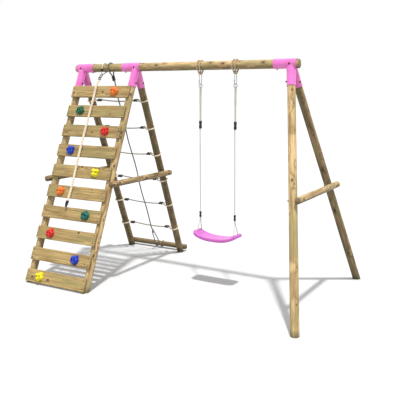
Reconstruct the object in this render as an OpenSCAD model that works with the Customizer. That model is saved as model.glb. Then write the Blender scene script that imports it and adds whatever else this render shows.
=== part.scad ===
// Garden climbing frame. One high beam rests on three pole frames. The first bay holds a
// climbing wall of boards with bolted holds and, behind it, a rope net. The second bay holds
// a swing. X runs along the beam, the climbing wall faces -Y and the ground is at Z = 0.

/* [Frame] */
// Height of the beam's axis above the ground
beam_height = 2000; // [1960:10:2400]
// Diameter of the beam
beam_d = 80; // [70:1:100]
// How far the beam runs past the two outer frames
beam_overhang = 75; // [65:1:150]
// Diameter of the leg poles
leg_d = 70; // [60:1:80]
// How far the feet stand in front of and behind the beam
foot_reach = 800; // [700:10:1000]
// Width of the climbing bay, between the axes of its two frames
climb_bay = 660; // [600:5:800]
// Width of the swing bay, along the beam
swing_bay = 1590; // [1300:10:2000]
// How far the feet of the far frame stand out along the beam
end_splay = 375; // [200:5:450]

/* [Brackets] */
// Wall of the bracket sleeve and leg tubes
bracket_wall = 3.5; // [2.5:0.1:5]
// Gap between a pole and the tube round it
bracket_fit = 0.5; // [0.3:0.1:1]
// Length of the sleeve on the beam
sleeve_len = 200; // [170:1:240]
// How far the sleeve reaches outwards from its legs
sleeve_out = 52; // [46:1:64]
// How far the leg tubes reach down from the beam's axis
leg_tube_reach = 205; // [180:1:260]
// Distance down the slope at which the leg poles start
leg_start = 108; // [104:1:130]
// Distance down the slope of the bolts in the leg tubes
leg_bolt_at = 165; // [150:1:175]

/* [Poles between the legs] */
// Diameter of the cross poles and of the foot pole
brace_d = 56; // [45:1:65]
// Height of the cross poles above the ground
brace_height = 925; // [700:5:1100]
// How far a cross pole runs past the axis of a leg
brace_overhang = 64; // [45:1:100]
// How far up the slope from the ground the foot pole's axis crosses its legs
foot_pole_lift = 28; // [28:1:100]
// How far the foot pole runs past the axis of a leg
foot_pole_overhang = 40; // [36:1:80]

/* [Climbing wall] */
// Length of a board
board_len = 700; // [690:1:860]
// Width of a board
board_w = 120; // [100:1:140]
// Thickness of a board
board_t = 20; // [16:1:28]
// Distance down the slope of the first board's upper edge
first_board = 212; // [208:1:240]
// Spacing of the boards down the slope
board_pitch = 203; // [180:1:206]
// Gap between a board and the poles behind it
board_seat = 0.3; // [0.2:0.1:1]
// Distance of the screws from a board's middle line
screw_offset = 35; // [25:1:40]

/* [Holds] */
// Width across a hold
hold_d = 96; // [80:1:100]
// How far a hold stands off the board
hold_h = 42; // [34:1:50]
// Distance of a hold's middle from the middle of the wall
hold_side = 180; // [120:1:200]
// Half the distance between the two bolts of a hold
hold_bolt_offset = 17; // [14:1:20]

/* [Net] */
// Diameter of the net's ropes
net_rope_d = 14; // [10:1:18]
// Distance down the slope of the first rung
first_rung = 345; // [330:1:380]
// Spacing of the rungs down the slope
rung_pitch = 298; // [270:1:320]
// How far a rung sags in its middle
rung_sag = 12; // [4:1:25]
// Distance of a rope clamp's near end from the axis of its leg
clamp_at = 78; // [72:1:90]
// Length of a rope clamp
clamp_len = 46; // [36:1:60]

/* [Fasteners] */
// Diameter of the bolts
bolt_d = 8; // [6:0.5:10]
// Diameter of the board screws
screw_d = 5; // [4:0.5:6]
// Gap round a bolt or screw in its hole
bolt_fit = 0.2; // [0.1:0.05:0.4]

/* [Swing] */
// Distance of the first swing rope from the middle frame
swing_at = 715; // [600:5:800]
// Distance between the two swing ropes
swing_rope_gap = 356; // [330:1:420]
// Diameter of the swing ropes
swing_rope_d = 12; // [8:1:14]
// Height of the swing's hinge axis below the beam's axis
swing_pivot_drop = 76; // [74:1:90]
// Height of the upper rope adjuster's middle above the ground
upper_adjuster_z = 1465; // [1200:5:1600]
// Height of the axis that the seat tilts about
seat_pivot_z = 600; // [540:5:680]
// Height of the middle of the seat
seat_z = 437; // [400:1:470]
// Length of the seat
seat_len = 450; // [420:1:520]
// Width of the seat, front to back
seat_w = 165; // [140:1:200]
// Wall of the seat
seat_t = 6; // [4:0.5:8]
// How far the seat's ends turn up
seat_rise = 54; // [30:1:70]
// Depth of the lips along the seat's two long edges
seat_lip = 24; // [10:1:30]

/* [Climbing rope] */
// Diameter of the climbing rope
climb_rope_d = 24; // [18:1:28]
// Distance of the climbing rope from the first frame
climb_rope_at = 280; // [240:1:330]

/* [Hidden] */

wood = "#c9b183";
rope_cream = "#e4dcc4";
rope_grey = "#6d6a66";
steel = "#a9abad";
black = "#26262a";
pink = "#f45fd0";

// Round shapes are drawn with this many sides, thin ropes with fewer.
$fn = 48;
rope_sides = 8;
gap = 0.3;

// Frames: place along the beam, outward stand of the feet, side that carries the cross pole.
frame_x = [0, climb_bay, climb_bay + swing_bay];
frame_splay = [0, 0, end_splay];
frame_side = [-1, 1, 1];
slope_len = norm([foot_reach, beam_height]);
wall_angle = atan2(beam_height, foot_reach);
leg_r = leg_d / 2;
sleeve_r = beam_d / 2 + bracket_fit + bracket_wall;
tube_r = leg_r + bracket_fit + bracket_wall;
pole_off = (leg_d + brace_d) / 2 + gap;
foot_pole_at = slope_len - foot_pole_lift;

// The origin is under the middle of the whole part's length.
end_foot_x = frame_x[2] + end_splay + leg_r * norm([1, end_splay / beam_height]);
mid_x = (end_foot_x - pole_off - brace_d / 2) / 2;

module place() {
    translate([-mid_x, 0, 0]) children();
}

// ---- Directions -------------------------------------------------------------------------

// Local Z runs from one point towards another, and local Y is level.
module aim(from, to) {
    v = to - from;
    translate(from) rotate([0, acos(v.z / norm(v)), atan2(v.y, v.x)]) children();
}

// Local X along the beam, Y up the slope and Z outwards, measured from the beam's axis.
module on_wall() {
    translate([0, 0, beam_height]) rotate([wall_angle, 0, 0]) children();
}

// The same behind the beam, with Z pointing inwards.
module on_net() {
    translate([0, 0, beam_height]) rotate([180 - wall_angle, 0, 0]) children();
}

module on_leg(frame, side) {
    top = [frame_x[frame], 0, beam_height];
    foot = [frame_x[frame] + frame_splay[frame], side * foot_reach, 0];
    aim(top, foot) children();
}

// Local Z runs outwards, square to the legs and to the cross pole of a frame.
module on_cross_pole(frame) {
    down = (beam_height - brace_height) / beam_height;
    tilt = 90 - atan(frame_splay[frame] / beam_height);
    translate([frame_x[frame] + frame_splay[frame] * down, 0, brace_height])
        rotate([0, frame_side[frame] * tilt, 0]) children();
}

cross_bolt_y = foot_reach * (beam_height - brace_height) / beam_height;

// A rope of round points, as a closed tube with flat ends.
function unit(v) = v / norm(v);
function tangents(p) = [for (i = [0:len(p) - 1]) unit(p[min(i + 1, len(p) - 1)] - p[max(i - 1, 0)])];
function carried(t, u, i = 1) = i == len(t) ? u
    : carried(t, concat(u, [unit(u[i - 1] - t[i] * (u[i - 1] * t[i]))]), i + 1);

module tube(p, d, sides = rope_sides) {
    t = tangents(p);
    start = abs(t[0].x) < 0.9 ? [1, 0, 0] : [0, 1, 0];
    u = carried(t, [unit(cross(t[0], start))]);
    n = len(p);
    rings = [for (i = [0:n - 1], k = [0:sides - 1]) let (a = 360 * k / sides)
        p[i] + d / 2 * (cos(a) * u[i] + sin(a) * cross(t[i], u[i]))];
    walls = [for (i = [0:n - 2], k = [0:sides - 1]) let (j = (k + 1) % sides)
        [i * sides + k, (i + 1) * sides + k, (i + 1) * sides + j, i * sides + j]];
    near_end = [[for (k = [0:sides - 1]) k]];
    far_end = [[for (k = [0:sides - 1]) n * sides - 1 - k]];
    polyhedron(points = rings, faces = concat(walls, near_end, far_end));
}

// Points of an arc in a plane, from one angle to another.
function arc(center, r, from, to, steps) =
    [for (i = [0:steps]) let (a = from + (to - from) * i / steps) center + r * [cos(a), sin(a)]];

// ---- Fasteners --------------------------------------------------------------------------

head_d = 19;
head_h = 6;
nut_d = 16;
nut_tip_d = 13;
nut_h = 9;
nut_floor = 2;
bolt_end_gap = 0.5;
bolt_past = nut_h - nut_floor - bolt_end_gap;
screw_len = 58;
screw_head_d = 10;
screw_head_h = 4;
lag_len = 60;

module bolt_hole(length) {
    translate([0, 0, -length]) cylinder(d = bolt_d + 2 * bolt_fit, h = 2 * length);
}

// Domed head on top at Z = 0, shank downwards.
module bolt(length) {
    translate([0, 0, -length]) cylinder(d = bolt_d, h = length + head_h / 2);
    rotate_extrude() intersection() {
        translate([0, (head_h * head_h - head_d * head_d / 4) / (2 * head_h)])
            circle(r = (head_h * head_h + head_d * head_d / 4) / (2 * head_h), $fn = 96);
        square([head_d / 2, head_h]);
    }
}

// Domed nut whose seat is at Z = 0, opening upwards to the bolt.
module nut() {
    difference() {
        translate([0, 0, -nut_h]) cylinder(d1 = nut_tip_d, d2 = nut_d, h = nut_h);
        translate([0, 0, nut_floor - nut_h]) cylinder(d = bolt_d + 2 * bolt_fit, h = nut_h);
    }
}

// Where every through bolt sits: local Z = 0 under its head, clamp length as parameter.
sleeve_bolt_len = 2 * sleeve_r;
tube_bolt_len = 2 * tube_r;
cross_bolt_len = leg_d + brace_d + gap;

module at_sleeve_bolt(frame) {
    translate([frame_x[frame], -sleeve_r, beam_height]) rotate([90, 0, 0]) children();
}

module at_lag_screw(frame) {
    inward = sleeve_len - sleeve_out - 24;
    x = frame_x[frame] + (frame == 0 ? inward : -inward);
    translate([x, 0, beam_height - sleeve_r]) rotate([180, 0, 0]) children();
}

module at_tube_bolt(frame, side) {
    on_leg(frame, side) translate([0, -side * tube_r, leg_bolt_at]) rotate([90 * side, 0, 0])
        children();
}

module at_cross_bolt(frame, side) {
    on_cross_pole(frame) translate([0, side * cross_bolt_y, pole_off + brace_d / 2]) children();
}

module at_foot_bolt(frame) {
    on_net() translate([frame_x[frame], -foot_pole_at, -pole_off - brace_d / 2])
        rotate([180, 0, 0]) children();
}

module at_through_bolts(with_nuts) {
    for (frame = [0:2]) {
        at_sleeve_bolt(frame) translate([0, 0, with_nuts ? -sleeve_bolt_len : 0]) children(0);
        for (side = [-1, 1]) {
            at_tube_bolt(frame, side) translate([0, 0, with_nuts ? -tube_bolt_len : 0])
                children(1);
            at_cross_bolt(frame, side) translate([0, 0, with_nuts ? -cross_bolt_len : 0])
                children(2);
        }
    }
    for (frame = [0, 1])
        at_foot_bolt(frame) translate([0, 0, with_nuts ? -cross_bolt_len : 0]) children(2);
}

module frame_bolts() color(black) place() {
    at_through_bolts(false) {
        bolt(sleeve_bolt_len + bolt_past);
        bolt(tube_bolt_len + bolt_past);
        bolt(cross_bolt_len + bolt_past);
    }
    for (frame = [0:2]) at_lag_screw(frame) bolt(lag_len);
}

module nuts() color(black) place() {
    at_through_bolts(true) {
        nut();
        nut();
        nut();
    }
    for (i = [0:9]) at_hold_bolts(i) translate([0, 0, -board_t]) nut();
}

// ---- Poles and brackets -----------------------------------------------------------------

module top_beam() color(wood) place() difference() {
    translate([-beam_overhang, 0, beam_height]) rotate([0, 90, 0])
        cylinder(d = beam_d, h = frame_x[2] + 2 * beam_overhang);
    for (frame = [0:2]) {
        at_sleeve_bolt(frame) bolt_hole(beam_d * 2);
        at_lag_screw(frame) bolt_hole(lag_len + 2);
    }
}

module bracket(frame) color(pink) place() difference() {
    union() {
        sleeve_start = frame == 0 ? -sleeve_out : frame_x[frame] + sleeve_out - sleeve_len;
        translate([sleeve_start, 0, beam_height]) rotate([0, 90, 0])
            cylinder(r = sleeve_r, h = sleeve_len);
        difference() {
            for (side = [-1, 1]) on_leg(frame, side) cylinder(r = tube_r, h = leg_tube_reach);
            for (side = [-1, 1]) on_leg(frame, side)
                cylinder(r = leg_r + bracket_fit, h = leg_tube_reach + 1);
        }
    }
    translate([frame_x[frame] - sleeve_len, 0, beam_height]) rotate([0, 90, 0])
        cylinder(r = beam_d / 2 + bracket_fit, h = 2 * sleeve_len);
    at_sleeve_bolt(frame) {
        bolt_hole(sleeve_bolt_len + 20);
        cylinder(d = head_d + 2, h = 20);
        translate([0, 0, -sleeve_bolt_len - 20]) cylinder(d = head_d + 2, h = 20);
    }
    at_lag_screw(frame) bolt_hole(20);
    for (side = [-1, 1]) at_tube_bolt(frame, side) bolt_hole(tube_bolt_len + 10);
}

module leg(frame, side) difference() {
    on_leg(frame, side) translate([0, 0, leg_start]) cylinder(r = leg_r, h = 1.2 * slope_len);
    translate([frame_x[frame] - 2000, -2000, -1000]) cube([4000, 4000, 1000]);
    at_tube_bolt(frame, side) bolt_hole(tube_bolt_len + 10);
    at_cross_bolt(frame, side) bolt_hole(cross_bolt_len + 10);
}

module wall_leg(frame) color(wood) place() difference() {
    leg(frame, -1);
    for (i = [0:9]) at_board_screws(i) translate([0, 0, -screw_len - 1])
        cylinder(d = screw_d + 2 * bolt_fit, h = screw_len);
}

module net_leg(frame) color(wood) place() difference() {
    leg(frame, 1);
    at_foot_bolt(frame) bolt_hole(cross_bolt_len + 10);
}

module end_leg(side) color(wood) place() leg(2, side);

module cross_pole(frame) color(wood) place() difference() {
    on_cross_pole(frame) translate([0, 0, pole_off]) rotate([90, 0, 0])
        cylinder(d = brace_d, h = 2 * (cross_bolt_y + brace_overhang), center = true);
    for (side = [-1, 1]) at_cross_bolt(frame, side) bolt_hole(cross_bolt_len);
}

module foot_pole() color(wood) place() difference() {
    on_net() translate([-foot_pole_overhang, -foot_pole_at, -pole_off]) rotate([0, 90, 0])
        cylinder(d = brace_d, h = climb_bay + 2 * foot_pole_overhang);
    for (frame = [0, 1]) at_foot_bolt(frame) bolt_hole(cross_bolt_len);
}

// ---- Boards and holds -------------------------------------------------------------------

board_face = leg_r + board_seat + board_t;
function board_middle(i) = -(first_board + board_pitch * i + board_w / 2);

module at_board_screws(i) {
    for (x = [0, climb_bay], y = [-1, 1])
        on_wall() translate([x, board_middle(i) + y * screw_offset, board_face]) children();
}

function hold_x(i) = climb_bay / 2 + (i % 2 == 0 ? 1 : -1) * hold_side;

module at_hold(i) {
    on_wall() translate([hold_x(i), board_middle(i), board_face]) children();
}

module at_hold_bolts(i) {
    at_hold(i) for (x = [-1, 1]) translate([x * hold_bolt_offset, 0, 0]) children();
}

module climb_board(i) color(wood) place() difference() {
    on_wall()
        translate([(climb_bay - board_len) / 2, board_middle(i) - board_w / 2, board_face - board_t])
            cube([board_len, board_w, board_t]);
    at_board_screws(i) {
        translate([0, 0, -board_t - 1]) cylinder(d = screw_d + 2 * bolt_fit, h = board_t + 2);
        translate([0, 0, -screw_head_h - gap])
            cylinder(d1 = screw_d, d2 = screw_head_d + 2 * gap, h = screw_head_h + gap);
    }
    at_hold_bolts(i) bolt_hole(2 * board_t);
}

module board_screw() {
    translate([0, 0, -screw_len]) cylinder(d = screw_d, h = screw_len - gap);
    translate([0, 0, -screw_head_h - gap])
        cylinder(d1 = screw_d, d2 = screw_head_d, h = screw_head_h);
}

module board_screws() color(steel) place() for (i = [0:9]) at_board_screws(i) board_screw();

hold_head_z = 16;
hold_head_d = 13;
hold_head_h = 8;
hold_key_d = 6.9;
hold_colors = ["#f08a2c", "#1f7f57", "#d8452f", "#2563a8", "#e8c33a",
    "#f08a2c", "#1d8f8a", "#d8452f", "#2563a8", "#e8c33a"];

// Outline of a hold at a direction, with soft lobes, never wider than hold_d.
function hold_rim(i, a) = let (lobes = i % 5 == 4 ? 4 : 5, depth = i % 5 == 4 ? 0.22 : 0.11)
    hold_d / 2 * (1 - depth * (1 - cos(lobes * a + 50 * i)) / 2 - 0.09 * (1 - cos(3 * a + 70 * i)) / 2);

// A domed lump on a flat back, drawn in rings that close in towards the top.
module hold_lump(i) {
    around = 24;
    up = 6;
    rings = [for (k = [0:up - 1], j = [0:around - 1])
        let (a = 360 * j / around, t = 90 * k / up, r = hold_rim(i, a) * pow(cos(t), 0.7))
        [r * cos(a), r * sin(a), hold_h * sin(t)]];
    walls = [for (k = [0:up - 2], j = [0:around - 1]) let (n = (j + 1) % around)
        [k * around + j, (k + 1) * around + j, (k + 1) * around + n, k * around + n]];
    top = [for (j = [0:around - 1])
        [(up - 1) * around + j, up * around, (up - 1) * around + (j + 1) % around]];
    back = [[for (j = [0:around - 1]) j]];
    polyhedron(points = concat(rings, [[0, 0, hold_h]]), faces = concat(walls, top, back));
}

module hold(i) color(hold_colors[i]) place() difference() {
    at_hold(i) hold_lump(i);
    at_hold_bolts(i) {
        bolt_hole(hold_h);
        translate([0, 0, hold_head_z]) cylinder(d = hold_head_d + 2, h = hold_h);
    }
}

module hold_bolts() color(black) place() for (i = [0:9]) at_hold_bolts(i) {
    translate([0, 0, -board_t - bolt_past])
        cylinder(d = bolt_d, h = board_t + bolt_past + hold_head_z);
    translate([0, 0, hold_head_z]) difference() {
        cylinder(d = hold_head_d, h = hold_head_h);
        translate([0, 0, hold_head_h / 2]) cylinder(d = hold_key_d, h = hold_head_h, $fn = 6);
    }
}

// ---- Net --------------------------------------------------------------------------------

net_r = net_rope_d / 2;
loop_r = leg_r + net_r + gap;
clamp_end = clamp_at + clamp_len;

// Points of a loop round a pole, opening towards +X, whose two ends lie a strand gap apart.
strand_gap = net_rope_d + 2;
function noose(pole_r, reach) = let (
        r = pole_r + net_r + gap,
        turn = acos(r / norm([reach, strand_gap / 2])) + atan2(strand_gap / 2, reach))
    concat([[reach, strand_gap / 2]], arc([0, 0], r, turn, 360 - turn, 16),
        [[reach, -strand_gap / 2]]);

// One rope from clamp to clamp, with a loop round the leg at each end and a sag between.
module net_rung(i) color(rope_cream) place() {
    y = -(first_rung + rung_pitch * i);
    loop = noose(leg_r, clamp_at - 3);
    span = climb_bay - 2 * clamp_end;
    sag = [for (k = [0:8]) let (t = k / 8)
        [clamp_end + span * t, y - rung_sag * 4 * t * (1 - t), -strand_gap / 2 * (1 - 2 * t)]];
    on_net() tube(concat(
        [for (p = loop) [p.x, y, p.y]],
        sag,
        [for (p = loop) [climb_bay - p.x, y, p.y]]), net_rope_d);
}

// The spine hangs from a loop round the beam, lies against the rungs and ends in an eye that
// a strop round the foot pole passes through.
spine_x = 352;
spine_off = net_rope_d + 3 * gap;
spine_clamp_at = beam_d / 2 + 48;
last_rung = first_rung + 5 * rung_pitch;
eye_at = foot_pole_at - 201;
eye_r = 15;
eye_wire_d = 10;
strop_d = net_rope_d - 2;
strop_spread = 32;
strop_top = (eye_wire_d + strop_d) / 2 + 3;

module net_spine() color(rope_grey) place() on_net() {
    top = noose(beam_d / 2, spine_clamp_at - 3);
    line = [[spine_x, -spine_clamp_at - clamp_len, -strand_gap / 2],
        [spine_x, -first_rung, spine_off],
        [spine_x, -(last_rung + rung_sag + net_rope_d), spine_off],
        [spine_x, -(eye_at - eye_r - net_r + 2), 0]];
    tube(concat([for (p = top) [spine_x, -p.x, p.y]], line), net_rope_d);
    translate([spine_x, -eye_at, 0]) rotate([0, 90, 0]) rotate_extrude()
        translate([eye_r, 0]) circle(d = eye_wire_d);
    strop_r = (brace_d + strop_d) / 2 + gap;
    wrap = [for (p = arc([-pole_off, -foot_pole_at], strop_r, 20, -215, 12)) [p.x, p.y]];
    tube(concat(
        [for (k = [len(wrap) - 1:-1:0]) [spine_x - strop_spread, wrap[k].y, wrap[k].x]],
        [for (x = [-1:0.5:1]) [spine_x + x * strop_top, -eye_at - 3 * x * x, 0]],
        [for (p = wrap) [spine_x + strop_spread, p.y, p.x]]), strop_d);
}

// A moulded clamp with two bores, running along X from its near end. Its two end lobes are
// wider than its waist.
lobe_share = 0.38;

module rope_clamp(d = net_rope_d, apart = strand_gap) difference() {
    union() {
        for (x = [0, clamp_len * (1 - lobe_share)]) translate([x, 0, 0]) rotate([0, 90, 0])
            clamp_block(d + 9, apart, clamp_len * lobe_share);
        translate([2, 0, 0]) rotate([0, 90, 0]) clamp_block(d + 5, apart, clamp_len - 4);
    }
    for (side = [-1, 1]) translate([-1, 0, side * apart / 2]) rotate([0, 90, 0])
        cylinder(d = d + 2 * gap, h = clamp_len + 2);
}

module clamp_block(width, apart, length) {
    for (side = [-1, 1]) translate([side * apart / 2, 0, 0]) cylinder(d = width, h = length);
    translate([-apart / 2, -width / 2, 0]) cube([apart, width, length]);
}

module rope_clamps() color(black) place() {
    on_net() {
        for (i = [0:5]) translate([0, -(first_rung + rung_pitch * i), 0]) {
            translate([clamp_at, 0, 0]) rope_clamp();
            translate([climb_bay - clamp_at, 0, 0]) rotate([0, 0, 180]) rope_clamp();
        }
        translate([spine_x, -spine_clamp_at, 0]) rotate([0, 0, -90]) rope_clamp();
    }
    ferrule = sling_points(climb_sling_r, climb_bight_r, climb_bight_at);
    n = len(ferrule) - 1;
    mid = (ferrule[0] + ferrule[n]) / 2;
    along = unit(ferrule[1] - ferrule[0]) * ferrule_len / 2;
    difference() {
        aim(in_beam_plane(mid - along), in_beam_plane(mid + along))
            cylinder(d = ferrule_d, h = ferrule_len);
        aim(in_beam_plane(mid - 2 * along), in_beam_plane(mid + 2 * along))
            cylinder(d = climb_sling_d + 2 * gap, h = 2 * ferrule_len);
    }
}

// ---- Slings over the beam ---------------------------------------------------------------

swing_sling_d = 14;
swing_x = [climb_bay + swing_at, climb_bay + swing_at + swing_rope_gap];
strand_x = 13;
bight_y = swing_sling_d / 2 + gap * 2;
swing_pivot_z = beam_height - swing_pivot_drop;

// Each swing sling is one rope laid over the beam twice. Its two ends under the beam are
// round bights that run along X, side by side, and the hook hangs on both.
function swing_strand(x) = let (
        r = (beam_d + swing_sling_d) / 2 + gap,
        turn = acos((r - bight_y) / (swing_pivot_drop - strand_x)))
    [for (k = [0:14]) let (a = turn + (360 - 2 * turn) * k / 14)
        [x, -r * sin(a), -r * cos(a)]];
function bight(side, from, to) =
    [for (k = [0:6]) let (a = from + (to - from) * k / 6)
        [strand_x * cos(a), side * bight_y, strand_x * (1 + sin(a)) - swing_pivot_drop]];
function reversed(p) = [for (k = [len(p) - 1:-1:0]) p[k]];

module swing_sling(x) translate([x, 0, beam_height]) tube(concat(
    bight(-1, 272, 360), swing_strand(strand_x),
    bight(1, 0, -180), reversed(swing_strand(-strand_x)),
    bight(-1, 180, 268)), swing_sling_d);

// The climbing rope's sling is a single loop that leans towards the wall.
climb_sling_d = 12;
climb_sling_r = (beam_d + climb_sling_d) / 2 + gap;
climb_bight_r = 11;
climb_bight_at = 78;
climb_lean = 40;
ferrule_d = 22;
ferrule_len = 30;

function sling_points(r, small_r, at) = let (turn = acos((r - small_r) / at),
        big = arc([0, 0], r, turn, 360 - turn, 16),
        small = arc([at, 0], small_r, -turn, turn, 6),
        middle = (small[6] + big[0]) / 2,
        step = unit(big[0] - small[6]) / 2)
    concat([middle + step], big, small, [middle - step]);

function in_beam_plane(p) = [climb_rope_at,
    -p.x * sin(climb_lean) - p.y * cos(climb_lean),
    beam_height - p.x * cos(climb_lean) + p.y * sin(climb_lean)];

module rope_slings() color(rope_cream) place() {
    for (x = swing_x) swing_sling(x);
    tube([for (p = sling_points(climb_sling_r, climb_bight_r, climb_bight_at)) in_beam_plane(p)],
        climb_sling_d);
}

// ---- Climbing rope ----------------------------------------------------------------------

// How far two linked pieces lie apart.
link_play = 0.8;
link_wire = 7;
link_r = 12;
link_top = climb_bight_at + link_play;
link_straight = 26;
link_bottom = link_top + 2 * link_r + link_straight;
eye_wire = 9;
eye_ring_r = 16;
eye_middle = link_bottom + eye_ring_r - (eye_wire + link_wire) / 2 - 1.3;
rope_starts_at = 160;

// The link hangs in the sling's bight, in a plane that holds the beam's direction.
module climb_hook() color(steel) place() {
    middle = link_top + link_r + link_straight / 2;
    upper = arc([link_top + link_r, 0], link_r, 90, 270, 8);
    lower = arc([link_bottom - link_r, 0], link_r, -90, 90, 8);
    outline = concat([[middle - 0.5, link_r]], upper, lower, [[middle + 0.5, link_r]]);
    tube([for (p = outline) in_beam_plane([p.x, 0]) + [p.y, 0, 0]], link_wire, 10);
    translate([link_r, 0, 0]) aim(in_beam_plane([middle - 9, 0]), in_beam_plane([middle + 9, 0]))
        cylinder(d = link_wire + 4, h = 18);
}

module climb_rope_eye() color(rope_cream) place() {
    translate(in_beam_plane([eye_middle, 0])) rotate([0, 90, 0]) rotate_extrude()
        translate([eye_ring_r, 0]) circle(d = eye_wire);
    aim(in_beam_plane([rope_starts_at - 12, 0]), in_beam_plane([rope_starts_at, 0]))
        cylinder(d = climb_rope_d + 2, h = 12);
}

// Route of the climbing rope: along the beam, down the slope, and out from the poles' axes.
CLIMB_ROUTE = [
    [280, 152, 50], [280, 171, 56.2], [281, 190, 62.8], [282, 212, 68.6], [283, 240, 70],
    [284, 290, 69], [284, 350, 69], [283, 410, 69], [282, 470, 69], [281, 530, 69],
    [280, 590, 69], [278, 650, 69], [276, 710, 69], [275, 770, 69], [274, 830, 69],
    [274, 890, 69], [274, 950, 69], [275, 1010, 69], [277, 1070, 69], [279, 1130, 69],
    [280, 1190, 69], [280, 1240, 69], [278, 1290, 69], [276, 1335, 70], [274, 1375, 72]];

function from_wall(p) = [p.x,
    -(p.y * foot_reach + p.z * beam_height) / slope_len,
    beam_height - (p.y * beam_height - p.z * foot_reach) / slope_len];
climb_path = [for (p = CLIMB_ROUTE) from_wall(p)];

module climb_rope() color(rope_cream) place() tube(climb_path, climb_rope_d, 12);

// A moulded cap on the rope's lower end, and the frayed tuft below it.
module climb_rope_end() color(black) place() {
    n = len(climb_path) - 1;
    down = unit(climb_path[n] - climb_path[n - 1]);
    aim(climb_path[n], climb_path[n] + down) {
        cylinder(d = climb_rope_d + 5, h = 34);
        translate([0, 0, 34]) cylinder(d1 = climb_rope_d + 5, d2 = climb_rope_d - 2, h = 8);
        translate([0, 0, 42]) cylinder(d1 = climb_rope_d - 4, d2 = climb_rope_d + 2, h = 22);
    }
}

// ---- Swing ------------------------------------------------------------------------------

hook_wire = 8;
hook_r = 20;
hook_straight = 77;
hook_nose = 22;
gate_hinge = 62;
gate_d = 7.2;
cheek_t = 2;
cheek_gap = 2.6;
cheek_r = 4.8;
rivet_d = 3;
rivet_fit = 0.05;

// A snap hook in the plane of the swing. The pivot is the middle of its upper bend.
module swing_hook() {
    outline = concat([[-hook_r, -hook_nose], [-hook_r, -hook_nose / 2]],
        arc([0, 0], hook_r, 180, 0, 12), [[hook_r, -hook_straight / 2]],
        arc([0, -hook_straight], hook_r, 0, -180, 12), [[-hook_r, -gate_hinge - 6]]);
    difference() {
        union() {
            tube([for (p = outline) [0, p.x, p.y]], hook_wire, 10);
            for (side = [-1, 1])
                translate([side * (cheek_gap + cheek_t / 2), -hook_r, -gate_hinge]) {
                    rotate([0, 90, 0]) cylinder(r = cheek_r, h = cheek_t, center = true);
                    translate([-cheek_t / 2, -cheek_r, -12]) cube([cheek_t, 2 * cheek_r, 12]);
                }
        }
        translate([-20, -hook_r, -gate_hinge]) rotate([0, 90, 0])
            cylinder(d = rivet_d + 2 * rivet_fit, h = 40);
    }
}

module hook_gate(i) color(steel) place() translate([swing_x[i], -hook_r, swing_pivot_z]) {
    shaft_start = 9;
    shaft_len = gate_hinge - hook_nose - shaft_start - 2 * gap;
    translate([0, 0, shaft_start - gate_hinge]) cylinder(d = gate_d, h = shaft_len);
    translate([0, 0, -gate_hinge - gate_d / 2]) intersection() {
        cylinder(d = gate_d, h = gate_d / 2 + shaft_start + 1);
        translate([-cheek_gap + gap, -gate_d, 0])
            cube([2 * (cheek_gap - gap), 2 * gate_d, 2 * gate_d]);
    }
    translate([-cheek_gap - cheek_t - 0.5, 0, -gate_hinge]) rotate([0, 90, 0])
        cylinder(d = rivet_d, h = 2 * (cheek_gap + cheek_t) + 1);
}

module swing_hooks() color(steel) place()
    for (x = swing_x) translate([x, 0, swing_pivot_z]) swing_hook();

ring_wire = 7;
ring_r = 17.5;
ring_z = swing_pivot_z - hook_straight - hook_r + (hook_wire + ring_wire) / 2 + link_play - ring_r;

module swing_rings() color(steel) place()
    for (x = swing_x) translate([x, 0, ring_z]) rotate([90, 0, 0]) rotate_extrude()
        translate([ring_r, 0]) circle(d = ring_wire);

adjuster_len = 70;
lower_adjuster_len = 52;
rope_bend_r = (ring_wire + swing_rope_d) / 2 + link_play;
rope_bend_z = ring_z - ring_r;
strand_y = swing_rope_d / 2 + 1.5;
lower_adjuster_z = seat_pivot_z + 9;
upper_top = upper_adjuster_z + adjuster_len / 2;
upper_bottom = upper_adjuster_z - adjuster_len / 2;

// One rope: from its end in the upper adjuster, up through the ring and down to the seat.
module swing_rope(i) color(rope_cream) place() translate([swing_x[i], 0, 0]) {
    up = [[strand_y, upper_bottom + 8], [strand_y, upper_top + 4]];
    bend = arc([0, rope_bend_z], rope_bend_r, 0, 180, 8);
    down = [[-strand_y, upper_top + 4], [-strand_y, upper_bottom - 4],
        [0, lower_adjuster_z + lower_adjuster_len + 4], [0, lower_adjuster_z + 20]];
    tube([for (p = concat(up, bend, down)) [0, p.x, p.y]], swing_rope_d, 12);
}

module swing_adjusters() color(black) place() for (x = swing_x) {
    translate([x, 0, upper_top]) rotate([0, 90, 0]) rotate([-90, 0, 0])
        adjuster(adjuster_len, 2 * strand_y, [[1, 8], [-1, -1]]);
    translate([x, 0, lower_adjuster_z + lower_adjuster_len]) rotate([0, 90, 0]) rotate([-90, 0, 0])
        adjuster(lower_adjuster_len, 0.5, [[0, 20]]);
}

// A two-lobed block along X. Each bore has a side and a floor, and a floor of -1 is open.
module adjuster(length, apart, bores) difference() {
    union() {
        for (x = [0, length * (1 - lobe_share)]) translate([x, 0, 0]) rotate([0, 90, 0])
            clamp_block(swing_rope_d + 9, apart, length * lobe_share);
        translate([2, 0, 0]) rotate([0, 90, 0])
            clamp_block(swing_rope_d + 5, apart, length - 4);
    }
    for (bore = bores) translate([-1, 0, bore[0] * apart / 2]) rotate([0, 90, 0])
        cylinder(d = swing_rope_d + 2 * gap, h = length - bore[1] + 1);
}

seat_middle_x = (swing_x[0] + swing_x[1]) / 2;
seat_hole_in = 35;
seat_hole_y = 45;
seat_strand_d = 9;
knot_d = 17;
seat_corner_r = 45;
function seat_curve(x) = seat_z + seat_rise * pow(abs(x) / (seat_len / 2), 2.6);

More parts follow.
